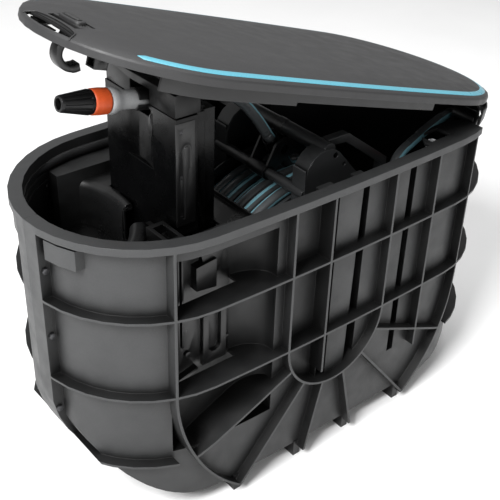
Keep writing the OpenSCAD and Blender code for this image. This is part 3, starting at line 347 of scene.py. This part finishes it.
# Meshes made here
def mesh_object(name, verts, faces, slot, body, mats=()):
    """Smooth object in its slot's material or in those given, that rides on the body if there is one."""
    mesh = bpy.data.meshes.new(name)
    mesh.from_pydata([tuple(v) for v in verts], [], faces)
    mesh.validate()
    mesh.update()
    obj = bpy.data.objects.new(name, mesh)
    scene.collection.objects.link(obj)
    for mat in mats or (MATS[slot],):
        mesh.materials.append(mat)
    for face in mesh.polygons:
        face.use_smooth = True
    if body:
        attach(obj, body)
    return obj


def ring_faces(rings, sides):
    """Faces between equal rings of points, then a cap on the first ring and one on the last."""
    faces = []
    for i in range(rings - 1):
        for j in range(sides):
            a, b = i * sides + j, i * sides + (j + 1) % sides
            faces.append((a, b, b + sides, a + sides))
    faces.append(tuple(reversed(range(sides))))
    faces.append(tuple((rings - 1) * sides + j for j in range(sides)))
    return faces


def sheet_faces(rows, columns):
    """Faces of an open sheet, whose points number one more than its faces each way."""
    faces = []
    for i in range(rows):
        for j in range(columns):
            a = i * (columns + 1) + j
            faces.append((a, a + 1, a + columns + 2, a + columns + 1))
    return faces


def round_rings(points, radius, sides, up):
    """Rings of a round bar through the points, held level to up: one direction, or one for each point."""
    verts = []
    level = None
    for i, point in enumerate(points):
        ahead = (points[min(i + 1, len(points) - 1)] - points[max(i - 1, 0)]).normalized()
        wanted = up[i] if isinstance(up, list) else (level if level is not None else up)
        level = (wanted - wanted.dot(ahead) * ahead).normalized()
        across = ahead.cross(level)
        for j in range(sides):
            a = 2 * math.pi * j / sides
            verts.append(point + radius * (level * math.cos(a) + across * math.sin(a)))
    return verts


def hose(name, points, radius, sides, up, body, stripes, stripe_width):
    """Grey hose through the points, with blue stripes whose places and width are parts of its round."""
    verts = round_rings(points, radius, sides, up)
    faces = ring_faces(len(points), sides)
    obj = mesh_object(name, verts, faces, "hose_grey", body, (MATS["hose_grey"], MATS["hose_blue"]))
    first_cap = len(faces) - 2
    for face in obj.data.polygons:
        if face.index >= first_cap:
            face.use_smooth = False
            continue
        place = (face.index % sides + 0.5) / sides
        is_blue = any(abs((place - stripe + 0.5) % 1 - 0.5) < stripe_width / 2 for stripe in stripes)
        face.material_index = 1 if is_blue else 0
    return obj


def bend(a, b, c, d, t):
    """Point between b and c, at the part t of the way, on a smooth curve through all four."""
    linear = t * (c - a) / 2
    square = t * t * (2 * a - 5 * b + 4 * c - d) / 2
    cubic = t * t * t * (3 * b - a - 3 * c + d) / 2
    return b + linear + square + cubic


def curve(route, steps):
    """Smooth curve through the route, in so many steps from each of its points to the next."""
    last = len(route) - 1
    points = []
    for i in range(last):
        span = route[max(i - 1, 0)], route[i], route[i + 1], route[min(i + 2, last)]
        points += [bend(*span, k / steps) for k in range(steps)]
    return points + [bend(*span, 1.0)]


def lathe(name, profile, place, sides, slot, body):
    """Turned body from a closed profile of radius and distance, set by place(a, radius, distance)."""
    verts = [place(2 * math.pi * i / sides, *pair) for i in range(sides) for pair in profile]
    count = len(profile)
    faces = []
    for i in range(sides):
        here, beyond = i * count, (i + 1) % sides * count
        for j in range(count):
            k = (j + 1) % count
            faces.append((here + j, here + k, beyond + k, beyond + j))
    return mesh_object(name, verts, faces, slot, body)


# Hose wound on the drum: turns below from side to side, half a turn that climbs, then the turns on top
HOSE_R, WIND_R, LAYER = 9.25, 202.5, 19.1
TURNS_LOW, CLIMB, TURNS_TOP = 7, 0.5, 3.75
TURNS = TURNS_LOW + CLIMB + TURNS_TOP
DRUM_HALF, SIDE_GAP = 81, 0.5
WIND_Y = DRUM_HALF - SIDE_GAP - HOSE_R
WIND_END_DEGREES = 78
WIND_END = math.radians(WIND_END_DEGREES)
STEPS_PER_TURN = 96
WIND_STUB = 0.0185


def wind(turn):
    """Point of the wound hose at the turn, with the directions out from the axle and along the hose."""
    a = math.radians(WIND_END_DEGREES - 360 * (TURNS - turn))
    crossing = TURNS_LOW + CLIMB
    if turn < crossing:
        y = WIND_Y - 2 * WIND_Y * turn / crossing
    else:
        y = -WIND_Y + WIND_Y * (turn - crossing) / TURNS_TOP
    climbed = min(max(turn - TURNS_LOW, 0), CLIMB)
    r = WIND_R - LAYER * math.sqrt(1 - 4 * climbed * climbed)
    out = Vector((math.cos(a), 0, math.sin(a)))
    along = Vector((-math.sin(a), 0, math.cos(a)))
    return V(REEL_X + r * out.x, y, REEL_Z + r * out.z), out, along


steps = round(STEPS_PER_TURN * TURNS)
wound = [wind(TURNS * i / steps) for i in range(steps + 1)]
# both ends go on straight for a short length
first_point, first_out, first_along = wound[0]
last_point, last_out, last_along = wound[-1]
points = [place for place, out, along in wound]
points = [first_point - WIND_STUB * first_along] + points + [last_point + WIND_STUB * last_along]
outs = [first_out] + [out for place, out, along in wound] + [last_out]
# the hose rolls a little about its own line from turn to turn, so its stripes wander
rolled = []
for i, out in enumerate(outs):
    turn = TURNS * i / steps
    roll = 0.55 * math.sin(1.9 * turn) + 0.3 * math.sin(5.3 * turn + 1)
    rolled.append(out * math.cos(roll) + FAR * math.sin(roll))
winding = hose("wound_hose", points, HOSE_R / 1000, 20, rolled, "drum", (0.03, 0.36, 0.69), 0.1)
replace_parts(winding, "hose_winding")

# Feed hose from the swivel round to the inlet
FEED_ROUTE = (
    (60.8, -141, -270), (80, -141, -270), (130, -142, -255), (172, -136, -190), (182, -117, -116),
    (200, -100, -64), (250, -96, -38), (312, -95, -16), (346, -92, -18), (364, -82, -50), (364, -80, -100),
    (344, -98, -150), (300, -132, -178), (254, -148, -166), (228, -154, -130), (222, -154, -98),
    (222, -154, -78.5))
feed_points = curve([V(*place) for place in FEED_ROUTE], 14)
feed = hose("feed_hose_striped", feed_points, 0.009, 24, FAR, "box", (0.0, 0.5), 0.17)
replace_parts(feed, "feed_hose")

# Hose from the drum through the guide's ball to the nozzle, in three lengths that meet at the ball's sides
NOZZLE_HOME = V(NOZZLE_X, 0, NOZZLE_Z)
NOZZLE_AXIS = Vector((-math.cos(NOZZLE_TILT), 0, math.sin(NOZZLE_TILT)))
NOZZLE_UP = Vector((math.sin(NOZZLE_TILT), 0, math.cos(NOZZLE_TILT)))
LEAD_START, LEAD_STEPS = 19.8, 12
LEAD_FIRST, LEAD_STRAIGHT, LEAD_BEHIND = 0.018, 0.019, 0.0083
LEAD_ROUTE = ((27, -41), (14, -20), (-4, 1.5), (-32, 42), (-66, 80), (-106, 104), (-150, 111))
start_x = REEL_X + WIND_R * math.cos(WIND_END) - LEAD_START * math.sin(WIND_END)
start_z = REEL_Z + WIND_R * math.sin(WIND_END) + LEAD_START * math.cos(WIND_END)
lead_start = V(start_x, 0, start_z)
first_step = Vector((-math.sin(WIND_END), 0, math.cos(WIND_END))) * LEAD_FIRST
lead_end = NOZZLE_HOME - LEAD_BEHIND * NOZZLE_AXIS
lead_route = [lead_start, lead_start + first_step] + [V(x, 0, z) for x, z in LEAD_ROUTE]
lead_route += [lead_end - LEAD_STRAIGHT * NOZZLE_AXIS, lead_end]
lead_points = curve(lead_route, LEAD_STEPS)
ball_in, ball_out = LEAD_STEPS * 3, LEAD_STEPS * 4 + 2


def lead(name, part):
    return hose(name, part, HOSE_R / 1000, 24, FAR, None, (0.12, 0.62), 0.085)


lead_a = lead("lead_to_ball", lead_points[: ball_in + 1])
lead_b = lead("lead_in_ball", lead_points[ball_in : ball_out + 1])
lead_c = lead("lead_to_nozzle", lead_points[ball_out:])
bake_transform(lead_a)
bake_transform(lead_b)
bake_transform(lead_c)
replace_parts(lead_c, "hose_lead")

# Inner layers of hose on the drum, a turned body that shows the wound hose on both sides and outside
LAYERS, LAYER_R, LAYER_PITCH, LAYER_Y, LAYER_HALF = 4, 100, 18.4, 71.5, 9.1
OUTSIDE_TURNS, OUTSIDE_R, OUTSIDE_PITCH, OUTSIDE_Y, OUTSIDE_HIGH, OUTSIDE_HALF = 8, 163.8, 18, 62, 8.8, 9
layers = [LAYER_R + LAYER_PITCH * k for k in range(LAYERS)]
profile = []
for side, order in ((1, layers), (-1, layers[::-1])):
    for r in order:
        for k in range(9):
            a = math.pi * k / 8
            y = side * (LAYER_Y + LAYER_HALF * math.sin(a))
            profile.append((r - side * LAYER_HALF * math.cos(a), y))
    if side > 0:
        for k in range(OUTSIDE_TURNS):
            y = OUTSIDE_Y - OUTSIDE_PITCH * k
            for q in range(7):
                a = math.pi * q / 6
                profile.append((OUTSIDE_R + OUTSIDE_HIGH * math.sin(a), y + OUTSIDE_HALF * math.cos(a)))


def round_reel(a, radius, y):
    return V(REEL_X + radius * math.cos(a), y, REEL_Z + radius * math.sin(a))


core = lathe("inner_hose_layers", profile, round_reel, 96, "hose_grey", "drum")
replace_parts(core, "drum_core")

# Plan of the box, as the solids have it: round ends and long sides that bow out, in millimetres
END_X, END_R, HALF_WIDTH, BOW = 246.5, 196, 201, 5
SIDE_SHIFT = (END_X * END_X - BOW * BOW) / (2 * BOW)
SIDE_R = HALF_WIDTH + SIDE_SHIFT
END_ANGLE = math.atan2(SIDE_SHIFT, END_X)


def arc(x, y, radius, start, sweep, picks, count):
    """Points of an arc round x, y: those that picks names, of its count steps."""
    angles = [start + sweep * i / count for i in picks]
    return [(x + radius * math.cos(a), y + radius * math.sin(a)) for a in angles]


def oval(offset, end_steps, side_steps):
    """Ring that lies so far outside the plan: hinge end, far side, latch end, near side."""
    end, side = 2 * END_ANGLE, math.pi - 2 * END_ANGLE
    all_picks, inner_picks = range(end_steps + 1), range(1, side_steps)
    ring = arc(END_X, 0, END_R + offset, -END_ANGLE, end, all_picks, end_steps)
    ring += arc(0, -SIDE_SHIFT, SIDE_R + offset, END_ANGLE, side, inner_picks, side_steps)
    ring += arc(-END_X, 0, END_R + offset, math.pi - END_ANGLE, end, all_picks, end_steps)
    ring += arc(0, SIDE_SHIFT, SIDE_R + offset, math.pi + END_ANGLE, side, inner_picks, side_steps)
    return ring


def inside(x, y, offset):
    """Whether the point lies within the ring that is so far outside the plan."""
    if abs(x) <= END_X:
        return abs(y) <= math.sqrt(max((SIDE_R + offset) ** 2 - x * x, 0)) - SIDE_SHIFT
    return math.hypot(abs(x) - END_X, y) <= END_R + offset


def skin(sections, name, slot, body, mats=()):
    """Closed form through equal sections, each a closed ring of points."""
    verts = [v for section in sections for v in section]
    obj = mesh_object(name, verts, ring_faces(len(sections), len(sections[0])), slot, body, mats)
    bm = bmesh.new()
    bm.from_mesh(obj.data)
    bmesh.ops.remove_doubles(bm, verts=bm.verts, dist=1e-6)
    bmesh.ops.dissolve_degenerate(bm, edges=bm.edges, dist=1e-6)
    bmesh.ops.recalc_face_normals(bm, faces=bm.faces)
    bm.to_mesh(obj.data)
    bm.free()
    obj.modifiers.new("shade", "NODES").node_group = SHADE_WIDE
    return obj


# Rounded shelf round the nozzle's well, in two lengths with a notch for the nozzle between them
WELL_X, WELL_Y, WELL_R = -420, 60, 157
SHELF_TOP, SHELF_UNDER, SHELF_FOOT = -52, -60.6, -129.6
LIP_WIDE, LIP_HIGH = 13, 14
INNER_WALL, SHELF_STOP = -21.2, -21.4
POCKET_X, POCKET_Y, DECK_X = -252.2, 94.2, -172
FREE_Y, FREE_WIDE, NOTCH_HALF = 62, 26, 26.5
SHELF_FAR_END, SHELF_NEAR_END = math.radians(66), math.radians(-84)


def shelf_reach(out_x, out_y):
    """How far from the well's middle the shelf goes before it meets the wall, the pockets or the deck."""
    reach = WELL_R + 16
    while reach < WELL_R + 150:
        x, y = WELL_X + (reach + 1) * out_x, WELL_Y + (reach + 1) * out_y
        in_pocket = x > POCKET_X and abs(y) < POCKET_Y
        if in_pocket or x > DECK_X or not inside(x, y, SHELF_STOP):
            break
        reach += 1
    return reach


def shelf_section(a):
    """Section of the shelf at the angle: wall of the well, round lip, top, outer edge and underside."""
    out_x, out_y = math.cos(a), math.sin(a)
    edge_y = WELL_Y + WELL_R * out_y
    reach = shelf_reach(out_x, out_y)
    # towards the near side the shelf is a narrow rim whose outer edge is free and rounded
    free = edge_y < FREE_Y
    if free:
        reach = min(reach, WELL_R + FREE_WIDE + max(0, (edge_y - 40) * 1.5))
    edge_wide, edge_high = (7, 7.5) if free else (1, 1.0)
    top_start = WELL_R + LIP_WIDE
    top_end = max(reach - edge_wide, top_start)
    places = [(WELL_R - 1.4, SHELF_FOOT), (WELL_R - 2.2, -110), (WELL_R - 2.2, -88), (WELL_R - 1.6, -76)]
    for q in range(1, 8):
        t = math.radians(12 * q)
        rise = SHELF_TOP - LIP_HIGH + LIP_HIGH * math.sin(t)
        places.append((WELL_R - 1 + LIP_WIDE * (1 - math.cos(t)), rise))
    places += [(top_start + (top_end - top_start) * q / 3, SHELF_TOP) for q in range(1, 4)]
    for t in (0.5, 1.0, 1.571):
        rise = SHELF_TOP - edge_high * (1 - math.cos(t))
        places.append((top_end + (reach - top_end) * math.sin(t), rise))
    places += [(reach, SHELF_UNDER), (WELL_R + 1, SHELF_UNDER), (WELL_R + 1, SHELF_FOOT)]
    section = []
    for distance, z in places:
        x, y = WELL_X + distance * out_x, WELL_Y + distance * out_y
        # what would reach past the box's inner wall is drawn back towards the middle of the latch end
        for _ in range(60):
            if inside(x, y, INNER_WALL):
                break
            x, y = x + (-END_X - x) * 0.01, y - y * 0.01
        section.append(V(x, y, z))
    return section


def well_angle(y):
    """Angle at the well's middle under which the shelf is at y."""
    return math.asin((y - WELL_Y) / (WELL_R + 10))


def shelf(name, start, end, steps):
    sections = [shelf_section(start + (end - start) * i / steps) for i in range(steps + 1)]
    skin(sections, name, "inner_plastic", "box", (MATS["tray_plastic"],))


shelf("shelf_far", SHELF_FAR_END, well_angle(NOTCH_HALF), 60)
shelf("shelf_near", well_angle(-NOTCH_HALF), SHELF_NEAR_END, 40)


# Long rounded flutes inside the far wall of the latch end
WALL, FLUTE_SUNK, FLUTE_ROOT, FLUTE_STEPS = -21, 0.3, 1.2, 12


def flute(name, z, high, deep, x_from, x_to):
    """Flute that swells quickly where it starts and tapers off to its other end."""
    path = [p for p in oval(WALL, 96, 120) if p[1] > 0 and x_to <= p[0] <= x_from]
    path.sort(key=lambda p: -p[0])
    last = len(path) - 1
    sections = []
    for i, (x, y) in enumerate(path):
        along = i / last
        grow = min(1, (1 - along) * 3.2) ** 0.7 * min(1, 0.25 + along * 9)
        x_after, y_after = path[min(i + 1, last)]
        x_before, y_before = path[max(i - 1, 0)]
        ahead = Vector((x_after - x_before, y_after - y_before, 0)).normalized()
        inward = Vector((-ahead.y, ahead.x, 0))
        if inward.x * (-x) + inward.y * (-y) < 0:
            inward = -inward
        section = []
        for q in range(FLUTE_STEPS + 1):
            a = math.pi * q / FLUTE_STEPS
            out = deep * grow * math.sin(a) - FLUTE_SUNK
            rise = 0.5 * high * math.cos(a) * (0.45 + 0.55 * grow)
            section.append(V(x + inward.x * out, y + inward.y * out, z + rise))
        for rise in (-0.2 * high, 0.2 * high):
            section.append(V(x - inward.x * FLUTE_ROOT, y - inward.y * FLUTE_ROOT, z + rise))
        sections.append(section)
    skin(sections, name, "shell_plastic", "box")


flute("wall_flute_upper", -24, 17, 7.5, -178, -352)
flute("wall_flute_lower", -38, 7, 3.2, -178, -318)

# Top of the lid: its edge lies inside the box's plan, and its height grows with the way in from that edge
LID_INSET, LID_EDGE_Z = 10, 5
LID_TOP = ((0, 9), (1.2, 11.6), (4, 13), (18, 17), (52, 21), (110, 22.4), (172, 23), (400, 23))


def on_lid(x, y, z):
    """Point of the closed lid, swung open with it as the solids are at rest."""
    dx, dz = x - HINGE_X, z - HINGE_Z
    open_x = HINGE_X + dx * math.cos(LID_OPEN) + dz * math.sin(LID_OPEN)
    open_z = HINGE_Z - dx * math.sin(LID_OPEN) + dz * math.cos(LID_OPEN)
    return V(open_x, y, open_z)


def lid_height(inset):
    for (near, near_z), (far, far_z) in zip(LID_TOP, LID_TOP[1:]):
        if inset <= far:
            break
    return LID_EDGE_Z + near_z + (far_z - near_z) * (inset - near) / (far - near)


def lid_surface(x, y):
    """Height of the closed lid's top at x, y, from how far in from its edge that lies."""
    low, high = 0.0, 180.0
    for _ in range(30):
        middle = (low + high) / 2
        if inside(x, y, -LID_INSET - middle):
            low = middle
        else:
            high = middle
    return lid_height(low)


# Light blue band, a little proud of its groove, that stops with round ends short of the finger opening
BAND_START, BAND_WIDE, BAND_MIDDLE, BAND_UNDER = 8.0, 10.4, 13.2, -1.0
BAND_CROWN = (0.15, 0.45, 0.6, 0.65, 0.6, 0.45, 0.15)
BAND_ROUND, BAND_STOP_X = 5, -371
END_STEPS, SIDE_STEPS = 60, 160
last = len(BAND_CROWN) - 1
insets = [BAND_START + BAND_WIDE * q / last for q in range(last + 1)]
rings = [oval(-LID_INSET - inset, END_STEPS, SIDE_STEPS) for inset in insets]
middle_ring = rings[last // 2]
# the order starts in the middle of the latch end, so that the band is one piece
count = len(middle_ring)
first = END_STEPS + SIDE_STEPS + END_STEPS // 2
order = [k % count for k in range(first, first + count)]
order = [k for k in order if middle_ring[k][0] > BAND_STOP_X]
run = [0]
for a, b in zip(order, order[1:]):
    run.append(run[-1] + math.dist(middle_ring[a], middle_ring[b]))
sections = []
for k, done in zip(order, run):
    to_end = min(done, run[-1] - done)
    width = math.sqrt(max(1 - (1 - min(to_end, BAND_ROUND) / BAND_ROUND) ** 2, 0.003))
    middle_x, middle_y = middle_ring[k]
    section = []
    for q, lift in [*enumerate(BAND_CROWN), (last, BAND_UNDER), (0, BAND_UNDER)]:
        ring_x, ring_y = rings[q][k]
        x, y = middle_x + (ring_x - middle_x) * width, middle_y + (ring_y - middle_y) * width
        height = lid_height(BAND_MIDDLE + (insets[q] - BAND_MIDDLE) * width)
        section.append(on_lid(x, y, height + lift))
    sections.append(section)
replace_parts(skin(sections, "band_strip", "band_plastic", "lid"), "lid_band")


# Raised latch grip over the flush button; the dark ring on it is painted shade of its groove
def pad(name, middle, half, levels, slot, mats=()):
    """Rounded oblong on the lid; a level is how far it is drawn in and its height over the lid."""
    squareness, sides = 2 / 3.2, 56
    verts = []
    for drawn_in, z in levels:
        for j in range(sides):
            a = 2 * math.pi * j / sides
            cos, sin = math.cos(a), math.sin(a)
            x = middle[0] + (half[0] - drawn_in) * math.copysign(abs(cos) ** squareness, cos)
            y = middle[1] + (half[1] - drawn_in) * math.copysign(abs(sin) ** squareness, sin)
            verts.append(on_lid(x, y, lid_surface(x, y) + z))
    obj = mesh_object(name, verts, ring_faces(len(levels), sides), slot, "latch", mats)
    obj.modifiers.new("shade", "NODES").node_group = SHADE_WIDE


GRIP_LEVELS = ((0, -1.5), (0, 2.2), (0.5, 3.5), (1.4, 4.2), (2.6, 4.5))
GROOVE_SHADE_LEVELS = ((0, 3.8), (0, 4.6), (0.4, 4.8))
BAR_LEVELS = ((0, 4.2), (0, 4.9), (0.7, 5.2))
pad("latch_grip", (-380.5, 4), (9.5, 25), GRIP_LEVELS, "lid_plastic")
# near-black pad laid on the grip: painted shade of the groove, not a cut
pad("latch_grip_groove_shade", (-381.5, 4), (6.2, 20.5), GROOVE_SHADE_LEVELS, "inner_plastic", (MATS["tower_plastic"],))
pad("latch_grip_bar", (-381.5, 4), (3.6, 17), BAR_LEVELS, "lid_plastic")

# Floor under the finger opening, which slopes down from the lid's edge and stops short of the latch hook
SLOT_ROWS, SLOT_COLUMNS = 10, 40
SLOT_X, SLOT_LONG, SLOT_SHORT = -432.4, 36, 23
SLOT_Y, SLOT_WIDE = -62, 118
SLOT_Z, SLOT_DROP, SLOT_THICK = 13.4, 6.0, 0.0016
SLOT_EDGE = -13.4
HOOK_Y, HOOK_CLEAR = -2, 13
verts = []
for i in range(SLOT_ROWS + 1):
    for j in range(SLOT_COLUMNS + 1):
        y = SLOT_Y + SLOT_WIDE * j / SLOT_COLUMNS
        length = SLOT_SHORT if abs(y - HOOK_Y) < HOOK_CLEAR else SLOT_LONG
        x = SLOT_X + length * i / SLOT_ROWS
        for _ in range(80):
            if inside(x, y, SLOT_EDGE):
                break
            x += 0.5
        verts.append(on_lid(x, y, SLOT_Z - SLOT_DROP * i / SLOT_ROWS))
faces = sheet_faces(SLOT_ROWS, SLOT_COLUMNS)
slot_floor = mesh_object("finger_slot_floor", verts, faces, "inner_plastic", "lid")
slot_floor.modifiers.new("thick", "SOLIDIFY").thickness = SLOT_THICK

# Thin lip that bows round the finger opening, with ends that turn out to the lid's edge
BOW_STEPS, BOW_Y, BOW_HALF, BOW_X, BOW_DEEP, BOW_STRAIGHT = 40, -3, 59, -414, 11, 50
LIP_R, LIP_SIDES = 0.0011, 12
bow = []
for i in range(BOW_STEPS + 1):
    a = math.pi * i / BOW_STEPS
    y = BOW_Y - BOW_HALF * math.cos(a)
    x = BOW_X + BOW_DEEP * math.sin(a) ** 1.2
    if abs(y - BOW_Y) > BOW_STRAIGHT:
        x -= (abs(y - BOW_Y) - BOW_STRAIGHT) * 0.9
    bow.append((x, y))
lip_line = [on_lid(x, y, lid_surface(x, y) + 0.5) for x, y in bow]
verts = round_rings(lip_line, LIP_R, LIP_SIDES, [Vector((0, 0, 1))] * len(lip_line))
mesh_object("finger_slot_lip", verts, ring_faces(len(lip_line), LIP_SIDES), "lid_plastic", "lid")

# Painted shade: a near-black sheet just over the lid between the lip and the lid's edge, where the finger
# opening lies in shade
SHADE_SHEET_X, SHADE_SHEET_COLUMNS, SHADE_SHEET_THICK = -413.2, 4, 0.0006
verts = []
for bow_x, y in bow:
    for q in range(SHADE_SHEET_COLUMNS + 1):
        x = SHADE_SHEET_X + (bow_x - SHADE_SHEET_X) * q / SHADE_SHEET_COLUMNS if bow_x > SHADE_SHEET_X else bow_x
        verts.append(on_lid(x, y, lid_surface(x, y) + 0.35))
faces = sheet_faces(BOW_STEPS, SHADE_SHEET_COLUMNS)
# the sheet is dark for the shade of the opening, not for any colour of the lid
shade_sheet = mesh_object("finger_slot_shade_sheet", verts, faces, "inner_plastic", "lid", (MATS["tower_plastic"],))
bm = bmesh.new()
bm.from_mesh(shade_sheet.data)
bmesh.ops.dissolve_degenerate(bm, edges=bm.edges, dist=1e-5)
bm.to_mesh(shade_sheet.data)
bm.free()
shade_sheet.modifiers.new("thick", "SOLIDIFY").thickness = SHADE_SHEET_THICK

# Curled latch hook under the front of the lid
HOOK_X, HOOK_STEPS, HOOK_HALF, HOOK_TIP_HALF = -394, 6, 5.0, 5.6
HOOK_LINE = ((6, 15), (3, 6), (-2, -3), (-5, -12), (-4, -21), (2, -29), (11, -33.5), (21, -34), (29, -31))
HOOK_OUTLINE = ((-11, -0.8), (-10, -1), (6, -1), (7, -0.8), (7, 0.8), (6, 1), (-10, 1), (-11, 0.8))
hook_points = curve([Vector((x, 0, z)) for x, z in HOOK_LINE], HOOK_STEPS)
last = len(hook_points) - 1
sections = []
for i, point in enumerate(hook_points):
    ahead = (hook_points[min(i + 1, last)] - hook_points[max(i - 1, 0)]).normalized()
    outward = Vector((-ahead.z, 0, ahead.x))
    half = HOOK_HALF if i < last - 7 else HOOK_TIP_HALF
    section = []
    for y, side in HOOK_OUTLINE:
        place = point + outward * half * side
        section.append(on_lid(HOOK_X + place.x, y, place.z))
    sections.append(section)
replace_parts(skin(sections, "latch_hook_curl", "inner_plastic", "latch"), "latch_hook")

# Nozzle body with its wide flange at the orange ring, as radius and distance ahead of the nozzle's home
NOZZLE_PROFILE = (
    (5, 14.2), (12.6, 14.2), (13.6, 15), (14, 16.5), (14, 40), (13.8, 58), (14.1, 66), (15.0, 71),
    (16.6, 75), (18.2, 79), (19.0, 82), (19.2, 85), (19.0, 88.6), (18.2, 89.9), (10.2, 89.9), (5, 89.9))


def round_nozzle(a, radius, distance):
    out = NOZZLE_UP * math.cos(a) + FAR * math.sin(a)
    return NOZZLE_HOME + (NOZZLE_AXIS * distance + out * radius) / 1000


nozzle = lathe("nozzle_body_turned", NOZZLE_PROFILE, round_nozzle, 64, "nozzle_grey", "tower")
nozzle.modifiers.new("shade", "NODES").node_group = SHADE_WIDE
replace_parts(nozzle, "nozzle_body")

# Floor
FLOOR_HALF, FLOOR_Z = 9, -0.0005
corners = [(x * FLOOR_HALF, y * FLOOR_HALF, FLOOR_Z) for x, y in ((-1, -1), (1, -1), (1, 1), (-1, 1))]
mesh = bpy.data.meshes.new("floor")
mesh.from_pydata(corners, [], [(0, 1, 2, 3)])
floor = bpy.data.objects.new("floor", mesh)
scene.collection.objects.link(floor)
paint, tree, shader = new_material("floor_paint")
colour = ramp(tree, noise(tree, 3, 3), [(0.3, grey(0.86)), (0.7, grey(0.89))])
tree.links.new(colour, shader.inputs["Base Color"])
shader.inputs["Roughness"].default_value = 0.9
mesh.materials.append(paint)

# Light
world = bpy.data.worlds.new("studio")
scene.world = world
world.use_nodes = True
background = world.node_tree.nodes["Background"]
background.inputs["Color"].default_value = (1, 1, 1, 1)
background.inputs["Strength"].default_value = 0.36


def area_light(name, place, target, size, power):
    data = bpy.data.lights.new(name, "AREA")
    data.shape = "RECTANGLE"
    data.size, data.size_y = size
    data.energy = power
    light = bpy.data.objects.new(name, data)
    scene.collection.objects.link(light)
    light.location = place
    light.rotation_euler = (Vector(target) - Vector(place)).to_track_quat("-Z", "Y").to_euler()


area_light("key", (-3.2, -1.1, 3.7), (0.05, 0, 0.3), (1.5, 1.5), 330)
area_light("top", (0.3, 0.3, 3.2), (0, 0, 0.4), (2.2, 2.2), 55)
area_light("side", (-0.6, -3.0, 1.0), (0, 0, 0.3), (2.2, 1.0), 16)
scene.view_settings.view_transform = "Standard"
